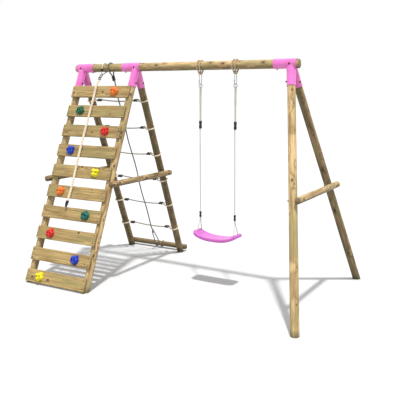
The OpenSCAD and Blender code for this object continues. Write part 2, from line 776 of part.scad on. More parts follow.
// From the knot under the lower adjuster to one of the seat's four holes.
function strand_top(i) = [swing_x[i], 0, seat_pivot_z];
function strand_hole(i, side) = let (x = (2 * i - 1) * (seat_len / 2 - seat_hole_in))
    [seat_middle_x + x, side * seat_hole_y, seat_curve(x) - seat_t / 2];
function strand_end(i, side) = let (v = strand_hole(i, side) - strand_top(i))
    strand_hole(i, side) + unit(v) * (knot_d / 2 + seat_t / 2 + 4);

module seat_strands() color(rope_cream) place() for (i = [0, 1]) {
    translate(strand_top(i)) sphere(d = 16);
    for (side = [-1, 1]) {
        aim(strand_top(i), strand_end(i, side))
            cylinder(d = seat_strand_d, h = norm(strand_end(i, side) - strand_top(i)));
        translate(strand_end(i, side)) sphere(d = knot_d);
    }
}

module seat_band(top, bottom, steps = 40) polygon(concat(
    [for (k = [0:steps]) let (x = seat_len * (k / steps - 0.5)) [x, seat_curve(x) - top]],
    [for (k = [steps:-1:0]) let (x = seat_len * (k / steps - 0.5)) [x, seat_curve(x) - bottom]]));

module seat_plan(inset) {
    r = seat_corner_r - inset;
    for (x = [-1, 1], y = [-1, 1])
        translate([x * (seat_len / 2 - seat_corner_r), y * (seat_w / 2 - seat_corner_r)])
            circle(r = r);
    square([seat_len - 2 * seat_corner_r, seat_w - 2 * inset], center = true);
    square([seat_len - 2 * inset, seat_w - 2 * seat_corner_r], center = true);
}

// A slice of the seat: between two depths under its top, and inset from its edge.
module seat_slice(top, bottom, inset) translate([seat_middle_x, 0, 0]) intersection() {
    translate([0, seat_w / 2, 0]) rotate([90, 0, 0]) linear_extrude(seat_w) seat_band(top, bottom);
    linear_extrude(beam_height) seat_plan(inset);
}

// A plate with a lip all round its underside, and a hole for each strand.
module swing_seat() color(pink) place() difference() {
    seat_slice(0, seat_t + seat_lip, 0);
    seat_slice(seat_t, 2 * (seat_t + seat_lip), seat_t);
    for (i = [0, 1], side = [-1, 1])
        aim(strand_top(i), strand_end(i, side))
            cylinder(d = seat_strand_d + 4, h = norm(strand_end(i, side) - strand_top(i)));
}

// ---- Named pieces -----------------------------------------------------------------------

module bracket_left() bracket(0);
module bracket_middle() bracket(1);
module bracket_right() bracket(2);
module wall_leg_left() wall_leg(0);
module wall_leg_right() wall_leg(1);
module net_leg_left() net_leg(0);
module net_leg_right() net_leg(1);
module end_leg_front() end_leg(-1);
module end_leg_rear() end_leg(1);
module cross_pole_left() cross_pole(0);
module cross_pole_middle() cross_pole(1);
module cross_pole_right() cross_pole(2);
module hook_gate_left() hook_gate(0);
module hook_gate_right() hook_gate(1);
module swing_rope_left() swing_rope(0);
module swing_rope_right() swing_rope(1);
module climb_board_01() climb_board(0);
module climb_board_02() climb_board(1);
module climb_board_03() climb_board(2);
module climb_board_04() climb_board(3);
module climb_board_05() climb_board(4);
module climb_board_06() climb_board(5);
module climb_board_07() climb_board(6);
module climb_board_08() climb_board(7);
module climb_board_09() climb_board(8);
module climb_board_10() climb_board(9);
module hold_01() hold(0);
module hold_02() hold(1);
module hold_03() hold(2);
module hold_04() hold(3);
module hold_05() hold(4);
module hold_06() hold(5);
module hold_07() hold(6);
module hold_08() hold(7);
module hold_09() hold(8);
module hold_10() hold(9);
module net_rung_1() net_rung(0);
module net_rung_2() net_rung(1);
module net_rung_3() net_rung(2);
module net_rung_4() net_rung(3);
module net_rung_5() net_rung(4);
module net_rung_6() net_rung(5);

top_beam();
bracket_left();
bracket_middle();
bracket_right();
wall_leg_left();
wall_leg_right();
net_leg_left();
net_leg_right();
end_leg_front();
end_leg_rear();
cross_pole_left();
cross_pole_middle();
cross_pole_right();
foot_pole();
climb_board_01();
climb_board_02();
climb_board_03();
climb_board_04();
climb_board_05();
climb_board_06();
climb_board_07();
climb_board_08();
climb_board_09();
climb_board_10();
hold_01();
hold_02();
hold_03();
hold_04();
hold_05();
hold_06();
hold_07();
hold_08();
hold_09();
hold_10();
hold_bolts();
board_screws();
frame_bolts();
nuts();
net_rung_1();
net_rung_2();
net_rung_3();
net_rung_4();
net_rung_5();
net_rung_6();
net_spine();
rope_clamps();
rope_slings();
climb_hook();
climb_rope_eye();
climb_rope();
climb_rope_end();
swing_hooks();
hook_gate_left();
hook_gate_right();
swing_rings();
swing_rope_left();
swing_rope_right();
swing_adjusters();
seat_strands();
swing_seat();
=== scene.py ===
"""Looks of a garden climbing frame: board climbing wall, rope net and swing under one beam.

Everything is in metres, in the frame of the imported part. X runs along the beam, the climbing
wall faces -Y and the ground is at Z = 0.
"""

import itertools
import math
import random

import bmesh
import bpy
import numpy as np
from mathutils import Matrix, Vector


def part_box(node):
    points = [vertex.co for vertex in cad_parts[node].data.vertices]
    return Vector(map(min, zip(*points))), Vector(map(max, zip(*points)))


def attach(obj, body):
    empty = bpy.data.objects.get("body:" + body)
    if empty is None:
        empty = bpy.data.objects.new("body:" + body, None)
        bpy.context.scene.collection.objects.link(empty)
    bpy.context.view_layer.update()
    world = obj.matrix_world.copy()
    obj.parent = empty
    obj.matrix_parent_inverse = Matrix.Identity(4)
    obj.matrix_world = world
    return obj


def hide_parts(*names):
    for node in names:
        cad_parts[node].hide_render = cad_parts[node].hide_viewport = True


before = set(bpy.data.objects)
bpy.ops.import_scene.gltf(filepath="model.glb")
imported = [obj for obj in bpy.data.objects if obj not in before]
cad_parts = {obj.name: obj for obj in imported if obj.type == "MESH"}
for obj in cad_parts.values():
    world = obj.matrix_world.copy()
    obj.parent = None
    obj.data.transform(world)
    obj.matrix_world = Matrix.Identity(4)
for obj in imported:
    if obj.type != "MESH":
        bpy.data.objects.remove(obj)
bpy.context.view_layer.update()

# ---- Sizes that the part is built on ----

BEAM_Z = 2.0
BEAM_R = 0.040
LEG_R = 0.035
LEG_START = 0.108
REACH = 0.8
CLIMB_BAY = 0.66
SWING_BAY = 1.59
END_SPLAY = 0.375
SLOPE = math.hypot(REACH, BEAM_Z)
LEFT = sum(corner.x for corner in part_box("wall_leg_left")) / 2
FRAME_X = (LEFT, LEFT + CLIMB_BAY, LEFT + CLIMB_BAY + SWING_BAY)
FRAME_SPLAY = (0.0, 0.0, END_SPLAY)
GAP = 0.0003

WALL_THICKNESS = 0.0035
TUBE_FIT = 0.0005
SLEEVE_R = BEAM_R + TUBE_FIT + WALL_THICKNESS
TUBE_R = LEG_R + TUBE_FIT + WALL_THICKNESS
SLEEVE_LEN = 0.2
SLEEVE_OUT = 0.052
TUBE_REACH = 0.205

BOARD_LEN = 0.7
BOARD_W = 0.12
BOARD_T = 0.02
BOARD_FACE = LEG_R + GAP + BOARD_T
FIRST_BOARD = 0.212
BOARD_PITCH = 0.203
BOARDS = 10
SCREW_OFFSET = 0.035

NET_ROPE_D = 0.014
FIRST_RUNG = 0.345
RUNG_PITCH = 0.298
RUNG_SAG = 0.012
RUNGS = 6
CLAMP_AT = 0.078
CLAMP_LEN = 0.046
STRAND_GAP = NET_ROPE_D + 0.002

SWING_X = (LEFT + 1.375, LEFT + 1.731)
SWING_SIDES = tuple(zip(("left", "right"), SWING_X))
PIVOT_Z = BEAM_Z - 0.076
RNG = random.Random(11)

# ---- Small vector and mesh helpers ----


def unit(v):
    return v / np.linalg.norm(v)


def vec(*xyz):
    return np.array(xyz, float)


def on_slope(p, side):
    """A point given as (x from the left frame, distance down the slope, distance outwards)."""
    x, s, off = p
    y = (s * REACH + off * BEAM_Z) / SLOPE
    z = BEAM_Z - (s * BEAM_Z - off * REACH) / SLOPE
    return vec(LEFT + x, side * y, z)


def from_wall(p):
    return on_slope(p, -1)


def from_net(p):
    return on_slope(p, 1)


X, Y, Z = np.eye(3)
WALL_UP = vec(0, REACH, BEAM_Z) / SLOPE
WALL_OUT = vec(0, -BEAM_Z, REACH) / SLOPE
NET_DOWN = vec(0, REACH, -BEAM_Z) / SLOPE
NET_OUT = vec(0, BEAM_Z, REACH) / SLOPE
NET_TOP = from_net((0, 0, 0))


def rise(x, start, end):
    """0 at start and 1 at end, straight between them and level beyond."""
    return np.clip((x - start) / (end - start), 0, 1)


def soft(share):
    return share * share * (3 - 2 * share)


def mirrored(profile, length=0.0):
    """A profile of (distance, radius) pairs, then the same again from its far end."""
    return profile + [(length - t, w) for t, w in profile[::-1]]


def turns(count):
    """Angles once round, in radians."""
    return np.linspace(0, 2 * math.pi, count, endpoint=False)


def circle(center, u, v, r, count):
    """Points round a circle in the plane of u and v."""
    return [center + r * (math.cos(t) * u + math.sin(t) * v) for t in turns(count)]


def arc(center, r, start, end, steps):
    """Points of an arc, with the angles in degrees."""
    angles = np.radians(np.linspace(start, end, steps + 1))
    return [(center[0] + r * math.cos(t), center[1] + r * math.sin(t)) for t in angles]


def smooth(points, step):
    """The line through the points with its corners cut, resampled at an even step."""
    line = np.array(points, float)
    inner = np.empty((2 * (len(line) - 1), 3))
    inner[0::2] = 0.75 * line[:-1] + 0.25 * line[1:]
    inner[1::2] = 0.25 * line[:-1] + 0.75 * line[1:]
    return even(np.vstack([line[:1], inner, line[-1:]]), step)


def even(line, step):
    line = np.array(line, float)
    along = np.concatenate([[0], np.cumsum(np.linalg.norm(np.diff(line, axis=0), axis=1))])
    at = np.linspace(0, along[-1], max(2, int(round(along[-1] / step)) + 1))
    return np.stack([np.interp(at, along, line[:, k]) for k in range(3)], axis=1)


def carried_frames(path, closed=False):
    """Tangent and two normals at each point, carried along the path without twist."""
    if closed:
        tangents = np.roll(path, -1, axis=0) - np.roll(path, 1, axis=0)
    else:
        tangents = np.gradient(path, axis=0)
    tangents /= np.linalg.norm(tangents, axis=1)[:, None]
    normal = unit(np.cross(tangents[0], X if abs(tangents[0][0]) < 0.9 else Y))
    normals = []
    for t in tangents:
        normal = unit(normal - t * normal.dot(t))
        normals.append(normal)
    normals = np.array(normals)
    return tangents, normals, np.cross(tangents, normals)


def spokes(u, v, sides):
    """Directions out from each point of a path, evenly round it from u towards v."""
    a = turns(sides)
    return np.cos(a)[None, :, None] * u[:, None] + np.sin(a)[None, :, None] * v[:, None]


def grid_faces(rows, columns, closed_rows=False):
    """Faces between rows of points that each run once round."""
    faces = []
    for i in range(rows if closed_rows else rows - 1):
        this, after = i * columns, (i + 1) % rows * columns
        for k in range(columns):
            beside = (k + 1) % columns
            faces.append((this + k, this + beside, after + beside, after + k))
    return faces


def capped_grid(rows, columns):
    caps = [tuple(range(columns))[::-1], tuple(range((rows - 1) * columns, rows * columns))]
    return grid_faces(rows, columns) + caps


def domed_grid(rows, columns):
    """A cap under the first row, and a fan from the last row to one more point."""
    last, tip = (rows - 1) * columns, rows * columns
    fan = [(last + k, last + (k + 1) % columns, tip) for k in range(columns)]
    return grid_faces(rows, columns) + [tuple(range(columns))[::-1]] + fan


def new_mesh(name, points, faces):
    mesh = bpy.data.meshes.new(name)
    mesh.from_pydata(points, [], faces)
    return mesh


def new_object(name, data):
    obj = bpy.data.objects.new(name, data)
    bpy.context.scene.collection.objects.link(obj)
    return obj


def coat(obj, material):
    """Gives a piece its material, and the slot that the material is named after."""
    obj.data.materials.clear()
    obj.data.materials.append(material)


def place(name, mesh, material, body, node=None, sharp=None):
    """Adds a piece that moves with a body and stands for a node. sharp is in degrees."""
    obj = new_object(name, mesh)
    coat(obj, material)
    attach(obj, body)
    if node:
        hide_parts(node)
    mesh.shade_smooth()
    if sharp:
        mesh.set_sharp_from_angle(angle=math.radians(sharp))
    return obj


VECTOR_VALUES = ("grain", "face", "lay", "dye")


class Shape:
    """Points, faces and point values gathered for one mesh."""

    def __init__(self):
        self.points, self.faces, self.values = [], [], {}

    def add(self, points, faces, **values):
        """Adds points and their values. One value may stand for all points."""
        base = len(self.points)
        self.points.extend(np.reshape(points, (-1, 3)).tolist())
        self.faces.extend(tuple(base + i for i in f) for f in faces)
        for name, v in values.items():
            width = 3 if name in VECTOR_VALUES else 1
            v = np.broadcast_to(np.reshape(v, (-1, width)), (len(self.points) - base, width))
            self.values.setdefault(name, []).extend(v.tolist())

    def tube(self, path, radius, sides=10, closed=False, **values):
        """A round tube. radius is one number or one for each point."""
        path = np.array(path, float)
        n = len(path)
        radius = np.broadcast_to(radius, n)
        _, u, v = carried_frames(path, closed)
        points = path[:, None] + radius[:, None, None] * spokes(u, v, sides)
        faces = grid_faces(n, sides, True) if closed else capped_grid(n, sides)
        self.add(points, faces, **values)

    def turned(self, start, along, profile, sides):
        """A solid of revolution. The profile holds pairs of distance along and radius."""
        self.tube([start + along * t for t, _ in profile], [w for _, w in profile], sides)

    def build(self, name, material, body, node=None, sharp=None):
        mesh = new_mesh(name, self.points, self.faces)
        mesh.update()
        for key, v in self.values.items():
            kind, field = ("FLOAT_VECTOR", "vector") if key in VECTOR_VALUES else ("FLOAT", "value")
            made = mesh.attributes.new(key, kind, "POINT")
            made.data.foreach_set(field, np.ravel(v))
        return place(name, mesh, material, body, node, sharp)


# ---- Material helpers ----


class Paint:
    """One procedural material, with short names for its nodes."""

    def __init__(self, name, **sockets):
        self.mat = bpy.data.materials.new(name)
        self.mat.use_nodes = True
        self.tree = self.mat.node_tree
        self.bsdf = self.tree.nodes["Principled BSDF"]
        for key, value in sockets.items():
            self.bsdf.inputs[key.replace("_", " ")].default_value = value

    def node(self, kind, inputs, **settings):
        made = self.tree.nodes.new("ShaderNode" + kind)
        for key, value in settings.items():
            setattr(made, key, value)
        for key, value in inputs.items():
            self.feed(made.inputs[key], value)
        return made

    def feed(self, socket, value):
        if isinstance(value, bpy.types.NodeSocket):
            self.tree.links.new(value, socket)
        else:
            socket.default_value = value

    def math(self, operation, a, b=0.0):
        return self.node("Math", {0: a, 1: b}, operation=operation).outputs[0]

    def times(self, a, b):
        return self.math("MULTIPLY", a, b)

    def plus(self, a, b):
        return self.math("ADD", a, b)

    def mix(self, share, a, b):
        made = self.node("Mix", {}, data_type="RGBA")
        for k, value in ((0, share), (6, color(a)), (7, color(b))):
            self.feed(made.inputs[k], value)
        return made.outputs[2]

    def over(self, base, tint, mask, share):
        """The base with a tint laid over it by up to a share, where the mask is."""
        return self.mix(self.times(mask, share), base, tint)

    def span(self, value, low, high, to_low=0.0, to_high=1.0):
        inputs = {0: value, 1: low, 2: high, 3: to_low, 4: to_high}
        return self.node("MapRange", inputs, interpolation_type="SMOOTHSTEP").outputs[0]

    def noise(self, vector, scale, detail=3.0, roughness=0.55, offset=(0, 0, 0)):
        """Noise, with one scale or one for each axis."""
        if isinstance(scale, tuple):
            vector, scale = self.stretched(vector, scale, offset), 1.0
        inputs = {"Vector": vector, "Scale": scale, "Detail": detail, "Roughness": roughness}
        return self.node("TexNoise", inputs).outputs[0]

    def stretched(self, vector, scale, offset=(0, 0, 0)):
        inputs = {"Vector": vector, "Scale": scale, "Location": offset}
        return self.node("Mapping", inputs).outputs[0]

    def attribute(self, name):
        return self.node("Attribute", {}, attribute_name=name).outputs["Vector"]

    def share(self, name):
        return self.node("Attribute", {}, attribute_name=name).outputs["Fac"]

    def position(self):
        return self.node("TexCoord", {}).outputs["Object"]

    def bump(self, height, strength, distance):
        inputs = {"Height": height, "Strength": strength, "Distance": distance}
        self.feed(self.bsdf.inputs["Normal"], self.node("Bump", inputs).outputs[0])

    def finish(self, base, roughness):
        self.feed(self.bsdf.inputs["Base Color"], color(base))
        self.feed(self.bsdf.inputs["Roughness"], roughness)
        return self.mat


def color(c):
    return (*c, 1.0) if isinstance(c, tuple) and len(c) == 3 else c


# ---- Materials ----


def wood_paint(name, light, dark, olive, ring_width, knot_cell):
    """Pressure-treated pine. The point value "grain" has the fibres along its third axis, and
    "face" holds the way across and the way along the piece's surface."""
    p = Paint(name, Specular_IOR_Level=0.35)
    grain = p.attribute("grain")
    wander = p.noise(grain, (11, 11, 0.8), 2.0)
    across = p.node("SeparateXYZ", {0: grain}).outputs
    radius = p.math("SQRT", p.plus(p.math("POWER", across[0], 2), p.math("POWER", across[1], 2)))

    # Knots: some cells of the surface have one, of a size drawn by lot.
    face = p.stretched(p.attribute("face"), (1 / knot_cell, 0.62 / knot_cell, 0))
    cells = p.node("TexVoronoi", {"Vector": face, "Scale": 1.0}, voronoi_dimensions="2D")
    luck = p.node("SeparateXYZ", {0: cells.outputs["Color"]}).outputs
    size = p.span(luck[0], 0.12, 1.0, -0.003, 0.0085)
    ragged = p.times(p.noise(grain, 160.0, 2.0), 0.004)
    beside = p.math("SUBTRACT", p.times(cells.outputs["Distance"], knot_cell), size)
    beside = p.plus(beside, ragged)
    knot = p.span(beside, 0.0030, 0.0010)
    knot_edge = p.times(p.span(beside, 0.0065, 0.0030), p.math("SUBTRACT", 1.0, knot))
    swirl = p.span(beside, 0.045, 0.0)

    # Growth rings, which wander and swing round the knots.
    depth = p.plus(p.plus(radius, p.times(wander, 0.022)), p.times(swirl, 0.005))
    rings = p.math("SINE", p.times(depth, 2 * math.pi / ring_width))
    late_wood = p.math("POWER", p.plus(p.times(rings, 0.5), 0.5), 2.0)

    fibre = p.noise(grain, (520, 520, 14), 4.0, 0.65)
    streak = p.noise(grain, (95, 95, 3.2), 3.0)
    blotch = p.noise(grain, (22, 22, 4.0), 4.0, 0.6)
    stain = p.noise(grain, (11, 11, 3.0), offset=(3, 1, 7))

    shade = p.plus(p.times(late_wood, 0.55), p.span(streak, 0.38, 0.66, 0.0, 0.45))
    shade = p.math("MINIMUM", p.plus(shade, p.span(fibre, 0.35, 0.75, 0.0, 0.2)), 1.0)
    base = p.mix(shade, light, dark)
    base = p.mix(p.span(blotch, 0.46, 0.66, 0.0, 0.60), base, dark)
    base = p.mix(p.span(stain, 0.47, 0.66, 0.0, 0.70), base, olive)
    base = p.over(base, (0.16, 0.075, 0.03), knot_edge, 0.6)
    base = p.over(base, (0.055, 0.028, 0.013), knot, 0.9)
    cut = p.mix(late_wood, (0.30, 0.20, 0.11), (0.15, 0.095, 0.05))
    base = p.over(base, cut, p.share("end"), 0.8)
    # Darker olive towards the feet, by the point value set near the ground.
    base = p.over(base, (0.055, 0.06, 0.022), p.share("damp"), 0.8)
    crack = p.math("POWER", p.share("crack"), 1.6)
    base = p.over(base, (0.05, 0.03, 0.015), crack, 0.85)
    # Brightness from a point value: each piece's own tone, together with painted shade on
    # undersides, lower board edges and the poles that the light reaches least.
    base = p.node("HueSaturation", {"Value": p.share("tone"), "Color": base}).outputs[0]

    relief = p.plus(p.times(fibre, 0.5), p.times(late_wood, 0.6))
    p.bump(p.math("SUBTRACT", relief, p.times(knot_edge, 0.8)), 0.55, 0.0012)
    return p.finish(base, p.span(shade, 0.0, 1.0, 0.58, 0.80))


def powder_coat(name, base, deep):
    """Powder-coated steel: a faint orange peel, slow changes of shade and a few dull rubs."""
    p = Paint(name, Coat_Weight=0.8, Coat_Roughness=0.2, Specular_IOR_Level=0.6)
    at = p.position()
    slow = p.noise(at, 14.0, 2.0)
    rub = p.span(p.noise(at, (60, 60, 240), 5.0, 0.7), 0.62, 0.78)
    tint = p.mix(p.span(slow, 0.35, 0.7), base, deep)
    tint = p.over(tint, (1.0, 0.75, 0.92), rub, 0.12)
    p.bump(p.noise(at, 620.0, 2.0), 0.12, 0.0006)
    return p.finish(tint, p.span(rub, 0.0, 1.0, 0.30, 0.5))


def moulded(name, base, deep, gloss, grit, speck=(1.0, 1.0, 1.0)):
    """Moulded plastic. grit is the height of its grain in metres."""
    p = Paint(name, Specular_IOR_Level=0.3)
    at = p.position()
    cloud = p.noise(at, 45.0, 3.0)
    sand = p.noise(at, 1500.0, 3.0, 0.7)
    fleck = p.span(p.noise(at, 900.0, 1.0), 0.66, 0.74)
    tint = p.mix(p.span(cloud, 0.3, 0.7), base, deep)
    tint = p.over(tint, speck, fleck, 0.10)
    scuff = p.span(p.noise(at, (30, 160, 90), 5.0, 0.7), 0.60, 0.80)
    p.bump(sand, 0.5, grit)
    return p.finish(tint, p.span(scuff, 0.0, 1.0, gloss, gloss + 0.16))


def rope_paint(name, light, dark, dirt_and_shade):
    """Laid rope: "lay" holds the turn round a strand, the length along it and the strand."""
    p = Paint(name, Sheen_Weight=0.25, Sheen_Roughness=0.5, Specular_IOR_Level=0.25)
    lay = p.attribute("lay")
    turn, length = p.node("SeparateXYZ", {0: lay}).outputs[:2]
    yarn = p.math("SINE", p.plus(p.times(turn, 7.0), p.times(length, 420.0)))
    yarn = p.plus(p.times(yarn, 0.5), 0.5)
    fuzz = p.noise(p.position(), 900.0, 3.0, 0.7)
    tint = p.over(light, dark, yarn, 0.35)
    tint = p.mix(p.span(fuzz, 0.45, 0.75, 0.0, 0.3), tint, dark)
    tint = p.mix(p.share("dyed"), tint, p.attribute("dye"))
    # Painted shade: the strands are darkened where they meet each other; the same dark colour, in
    # slow patches below, is dirt.
    tint = p.over(tint, dirt_and_shade, p.share("hollow"), 0.8)
    tint = p.mix(p.span(p.noise(p.position(), 7.0, 3.0), 0.5, 0.75, 0.0, 0.25), tint, dirt_and_shade)
    p.bump(p.plus(p.times(yarn, 0.7), p.times(fuzz, 0.5)), 0.7, 0.0008)
    return p.finish(tint, p.span(fuzz, 0.3, 0.7, 0.72, 0.92))


def metal(name, base, roughness, metallic=1.0):
    """Plated steel with fine scratches and slow spots of dullness."""
    p = Paint(name, Metallic=metallic)
    at = p.position()
    spots = p.noise(at, 70.0, 4.0, 0.65)
    scratch = p.noise(at, (1400, 120, 300), 3.0, 0.7)
    dark = tuple(0.55 * c for c in base)
    tint = p.mix(p.span(spots, 0.42, 0.72), base, dark)
    p.bump(scratch, 0.18, 0.0003)
    dull = p.plus(spots, p.times(scratch, 0.4))
    return p.finish(tint, p.span(dull, 0.4, 1.1, roughness, roughness + 0.25))


pole_wood = wood_paint("pole_wood", (0.53, 0.38, 0.185), (0.20, 0.125, 0.050),
                       (0.22, 0.19, 0.075), 0.0065, 0.085)
board_wood = wood_paint("board_wood", (0.435, 0.312, 0.126), (0.17, 0.105, 0.036),
                        (0.22, 0.19, 0.072), 0.0078, 0.115)
bracket_pink = powder_coat("bracket_pink", (0.64, 0.118, 0.43), (0.58, 0.085, 0.34))
seat_pink = moulded("seat_pink", (0.44, 0.115, 0.40), (0.42, 0.085, 0.36), 0.24, 0.00012)
HOLD_TINTS = {
    "orange": ((0.70, 0.17, 0.02), (0.52, 0.10, 0.012)),
    "green": ((0.006, 0.105, 0.05), (0.003, 0.06, 0.03)),
    "teal": ((0.006, 0.12, 0.09), (0.003, 0.07, 0.055)),
    "red": ((0.60, 0.018, 0.012), (0.40, 0.010, 0.008)),
    "blue": ((0.008, 0.038, 0.40), (0.005, 0.022, 0.26)),
    "yellow": ((0.68, 0.60, 0.008), (0.60, 0.47, 0.006)),
}
hold_paints = {name: moulded("hold_" + name, base, deep, 0.42, 0.0005)
               for name, (base, deep) in HOLD_TINTS.items()}
rope_cream = rope_paint("rope_cream", (0.74, 0.66, 0.50), (0.46, 0.37, 0.24), (0.17, 0.12, 0.07))
rope_grey = rope_paint("rope_grey", (0.16, 0.155, 0.145), (0.08, 0.078, 0.072),
                       (0.025, 0.025, 0.024))
steel = metal("steel", (0.55, 0.56, 0.58), 0.26)
black_steel = metal("black_steel", (0.030, 0.030, 0.034), 0.38, 0.6)
black_plastic = moulded("black_plastic", (0.014, 0.014, 0.016), (0.009, 0.009, 0.010), 0.42, 0.0003,
                        (0.06, 0.06, 0.06))

# ---- Camera ----

camera_data = bpy.data.cameras.new("camera")
camera_data.sensor_width = 36.0
camera_data.lens = 55.44
camera_data.shift_y = -0.125
camera_data.clip_end = 100.0
camera = new_object("camera", camera_data)
bpy.context.scene.camera = camera
camera.location = (2.903, -4.885, 1.772)
CAMERA_YAW = 0.5232
CAMERA_PITCH = -0.0955
camera.rotation_euler = (math.pi / 2 + CAMERA_PITCH, 0, CAMERA_YAW)

# ---- Ropes ----


# Point values of the rope paint. A dye is a colour and how far it takes over from the rope's; the
# tan one is painted shade on the cream slings.
UNDYED = {"dye": (0.0, 0.0, 0.0), "dyed": 0.0}
SHADED_TAN = {"dye": (0.36, 0.25, 0.125), "dyed": 0.75}
GREY = {"dye": (0.52, 0.495, 0.46), "dyed": 0.8}
SLATE = {"dye": (0.15, 0.15, 0.14), "dyed": 0.85}
SOOT = {"dye": (0.035, 0.033, 0.03), "dyed": 0.85}
UNLAID = {"hollow": 0.0, "lay": (0.0, 0.0, 0.0)}


def laid_rope(shape, path, d, pitch, sides=8, dye=UNDYED):
    """Adds a three-strand rope along a path of even steps. The outside is d across."""
    strand_r = 0.262 * d
    off = d / 2 - strand_r
    step = np.linalg.norm(path[1] - path[0])
    _, u, v = carried_frames(path)
    turn = 2 * math.pi * np.arange(len(path)) * step / pitch
    for k in range(3):
        a = turn + 2 * math.pi * k / 3
        out = np.cos(a)[:, None] * u + np.sin(a)[:, None] * v
        line = path + off * out
        _, m, n = carried_frames(line)
        ring = spokes(m, n, sides)
        # Painted shade: marks how far each strand faces the rope's core, where it meets the other
        # strands, for darkening.
        hollow = np.clip(0.42 - 0.9 * (ring * out[:, None]).sum(2), 0, 1)
        along = np.repeat(np.arange(len(path)) * step, sides)
        lay = np.stack([np.tile(turns(sides), len(path)), along, np.full(len(along), k)], axis=1)
        shape.add(line[:, None] + strand_r * ring, capped_grid(len(path), sides), hollow=hollow,
                  lay=lay, **dye)


# The climbing rope's route, as in the part: along the beam, down the slope, outwards.
ON_BOARDS = (0.284, 0.284, 0.283, 0.282, 0.281, 0.280, 0.278, 0.276, 0.275, 0.274, 0.274, 0.274,
             0.275, 0.277, 0.279, 0.280)
CLIMB_ROUTE = [
    (0.280, 0.152, 0.0500), (0.280, 0.171, 0.0562), (0.281, 0.190, 0.0628), (0.282, 0.212, 0.0686),
    (0.283, 0.240, 0.070), *((x, 0.290 + 0.060 * k, 0.069) for k, x in enumerate(ON_BOARDS)),
    (0.280, 1.240, 0.069), (0.278, 1.290, 0.069), (0.276, 1.335, 0.070), (0.274, 1.375, 0.072)]
CLIMB_ROPE_D = 0.024

climb_path = even([from_wall(p) for p in CLIMB_ROUTE], 0.005)
climb_shape = Shape()
laid_rope(climb_shape, climb_path, CLIMB_ROPE_D, 0.075, sides=10)
climb_rope = climb_shape.build("climb_rope_strands", rope_cream, "climbing_rope", "climb_rope")


TUFT = 46
GOLDEN_ANGLE = 2.39996


def rope_end_piece():
    """The moulded cap on the climbing rope's lower end, with the frayed tuft below it."""
    end, down = climb_path[-1], unit(climb_path[-1] - climb_path[-4])
    r = CLIMB_ROPE_D / 2 + 0.0025
    profile = [(0.0, r - 0.0015), (0.0015, r), (0.010, r), (0.012, r - 0.001), (0.014, r),
               (0.020, r), (0.022, r - 0.001), (0.024, r), (0.034, r), (0.039, r - 0.002),
               (0.042, r - 0.0045)]
    shape = Shape()
    shape.turned(end, down, profile, 32)
    _, u, v = carried_frames(np.array([end, end + down]))
    for k in range(TUFT):
        spread = 0.0095 * math.sqrt((k + 0.5) / TUFT)
        angle = GOLDEN_ANGLE * k
        out = math.cos(angle) * u[0] + math.sin(angle) * v[0]
        root = end + down * 0.040 + out * spread * 0.8
        tip = root + down * (0.020 - 0.003 * RNG.random()) + out * spread * 0.42
        middle = (root + tip) / 2 + out * 0.0006
        shape.tube([root, middle, tip], [0.0013, 0.0012, 0.0005], 6)
    return shape.build("climb_rope_tail", black_plastic, "climbing_rope", "climb_rope_end")


rope_tail = rope_end_piece()


def noose(pole_r, reach):
    """A loop round a pole at the origin that opens towards +X."""
    r = pole_r + NET_ROPE_D / 2 + GAP
    half = STRAND_GAP / 2
    turn = math.degrees(math.acos(r / math.hypot(reach, half)) + math.atan2(half, reach))
    return [(reach, half), *arc((0, 0), r, turn, 360 - turn, 28), (reach, -half)]


NET_LAY = 0.046
IN_CLAMP = 0.003
ROPE_STEP = 0.0045
SHORT_STEP = 0.004


def net_rung(i):
    """A rope looped round both legs, dyed dark between its clamps, with a little sag."""
    s = FIRST_RUNG + RUNG_PITCH * i
    loop = noose(LEG_R, CLAMP_AT - IN_CLAMP)
    clamp_end = CLAMP_AT + CLAMP_LEN
    span = CLIMB_BAY - 2 * clamp_end
    sag = [(clamp_end + span * t, s + RUNG_SAG * 4 * t * (1 - t), STRAND_GAP / 2 * (1 - 2 * t))
           for t in np.linspace(0, 1, 13)]
    line = [(x, s, -y) for x, y in loop] + sag + [(CLIMB_BAY - x, s, -y) for x, y in loop]
    path = smooth([from_net(p) for p in line], ROPE_STEP)
    from_middle = np.abs(path[:, 0] - LEFT - CLIMB_BAY / 2)
    dark = from_middle < CLIMB_BAY / 2 - CLAMP_AT - CLAMP_LEN / 2
    dark &= np.abs((path - NET_TOP).dot(NET_OUT)) < STRAND_GAP / 2 + 0.001
    first, last = np.flatnonzero(dark)[[0, -1]]
    shape = Shape()
    for part, dye in ((slice(first + 1), UNDYED), (slice(first, last + 1), SLATE),
                      (slice(last, None), UNDYED)):
        laid_rope(shape, path[part], NET_ROPE_D, NET_LAY, dye=dye)
    shape.build(f"net_rung_{i + 1}_rope", rope_cream, "frame", f"net_rung_{i + 1}")


for rung in range(RUNGS):
    net_rung(rung)

SPINE_X = 0.352
SPINE_OFF = NET_ROPE_D + 3 * GAP
SPINE_CLAMP = 0.088
SPINE_WAVE = 0.0055
BRACE_R = 0.028
EYE_AT = SLOPE - BRACE_R - 0.201
EYE_R = 0.015
STROP_D = NET_ROPE_D - 0.002
STROP_HALF = 0.032


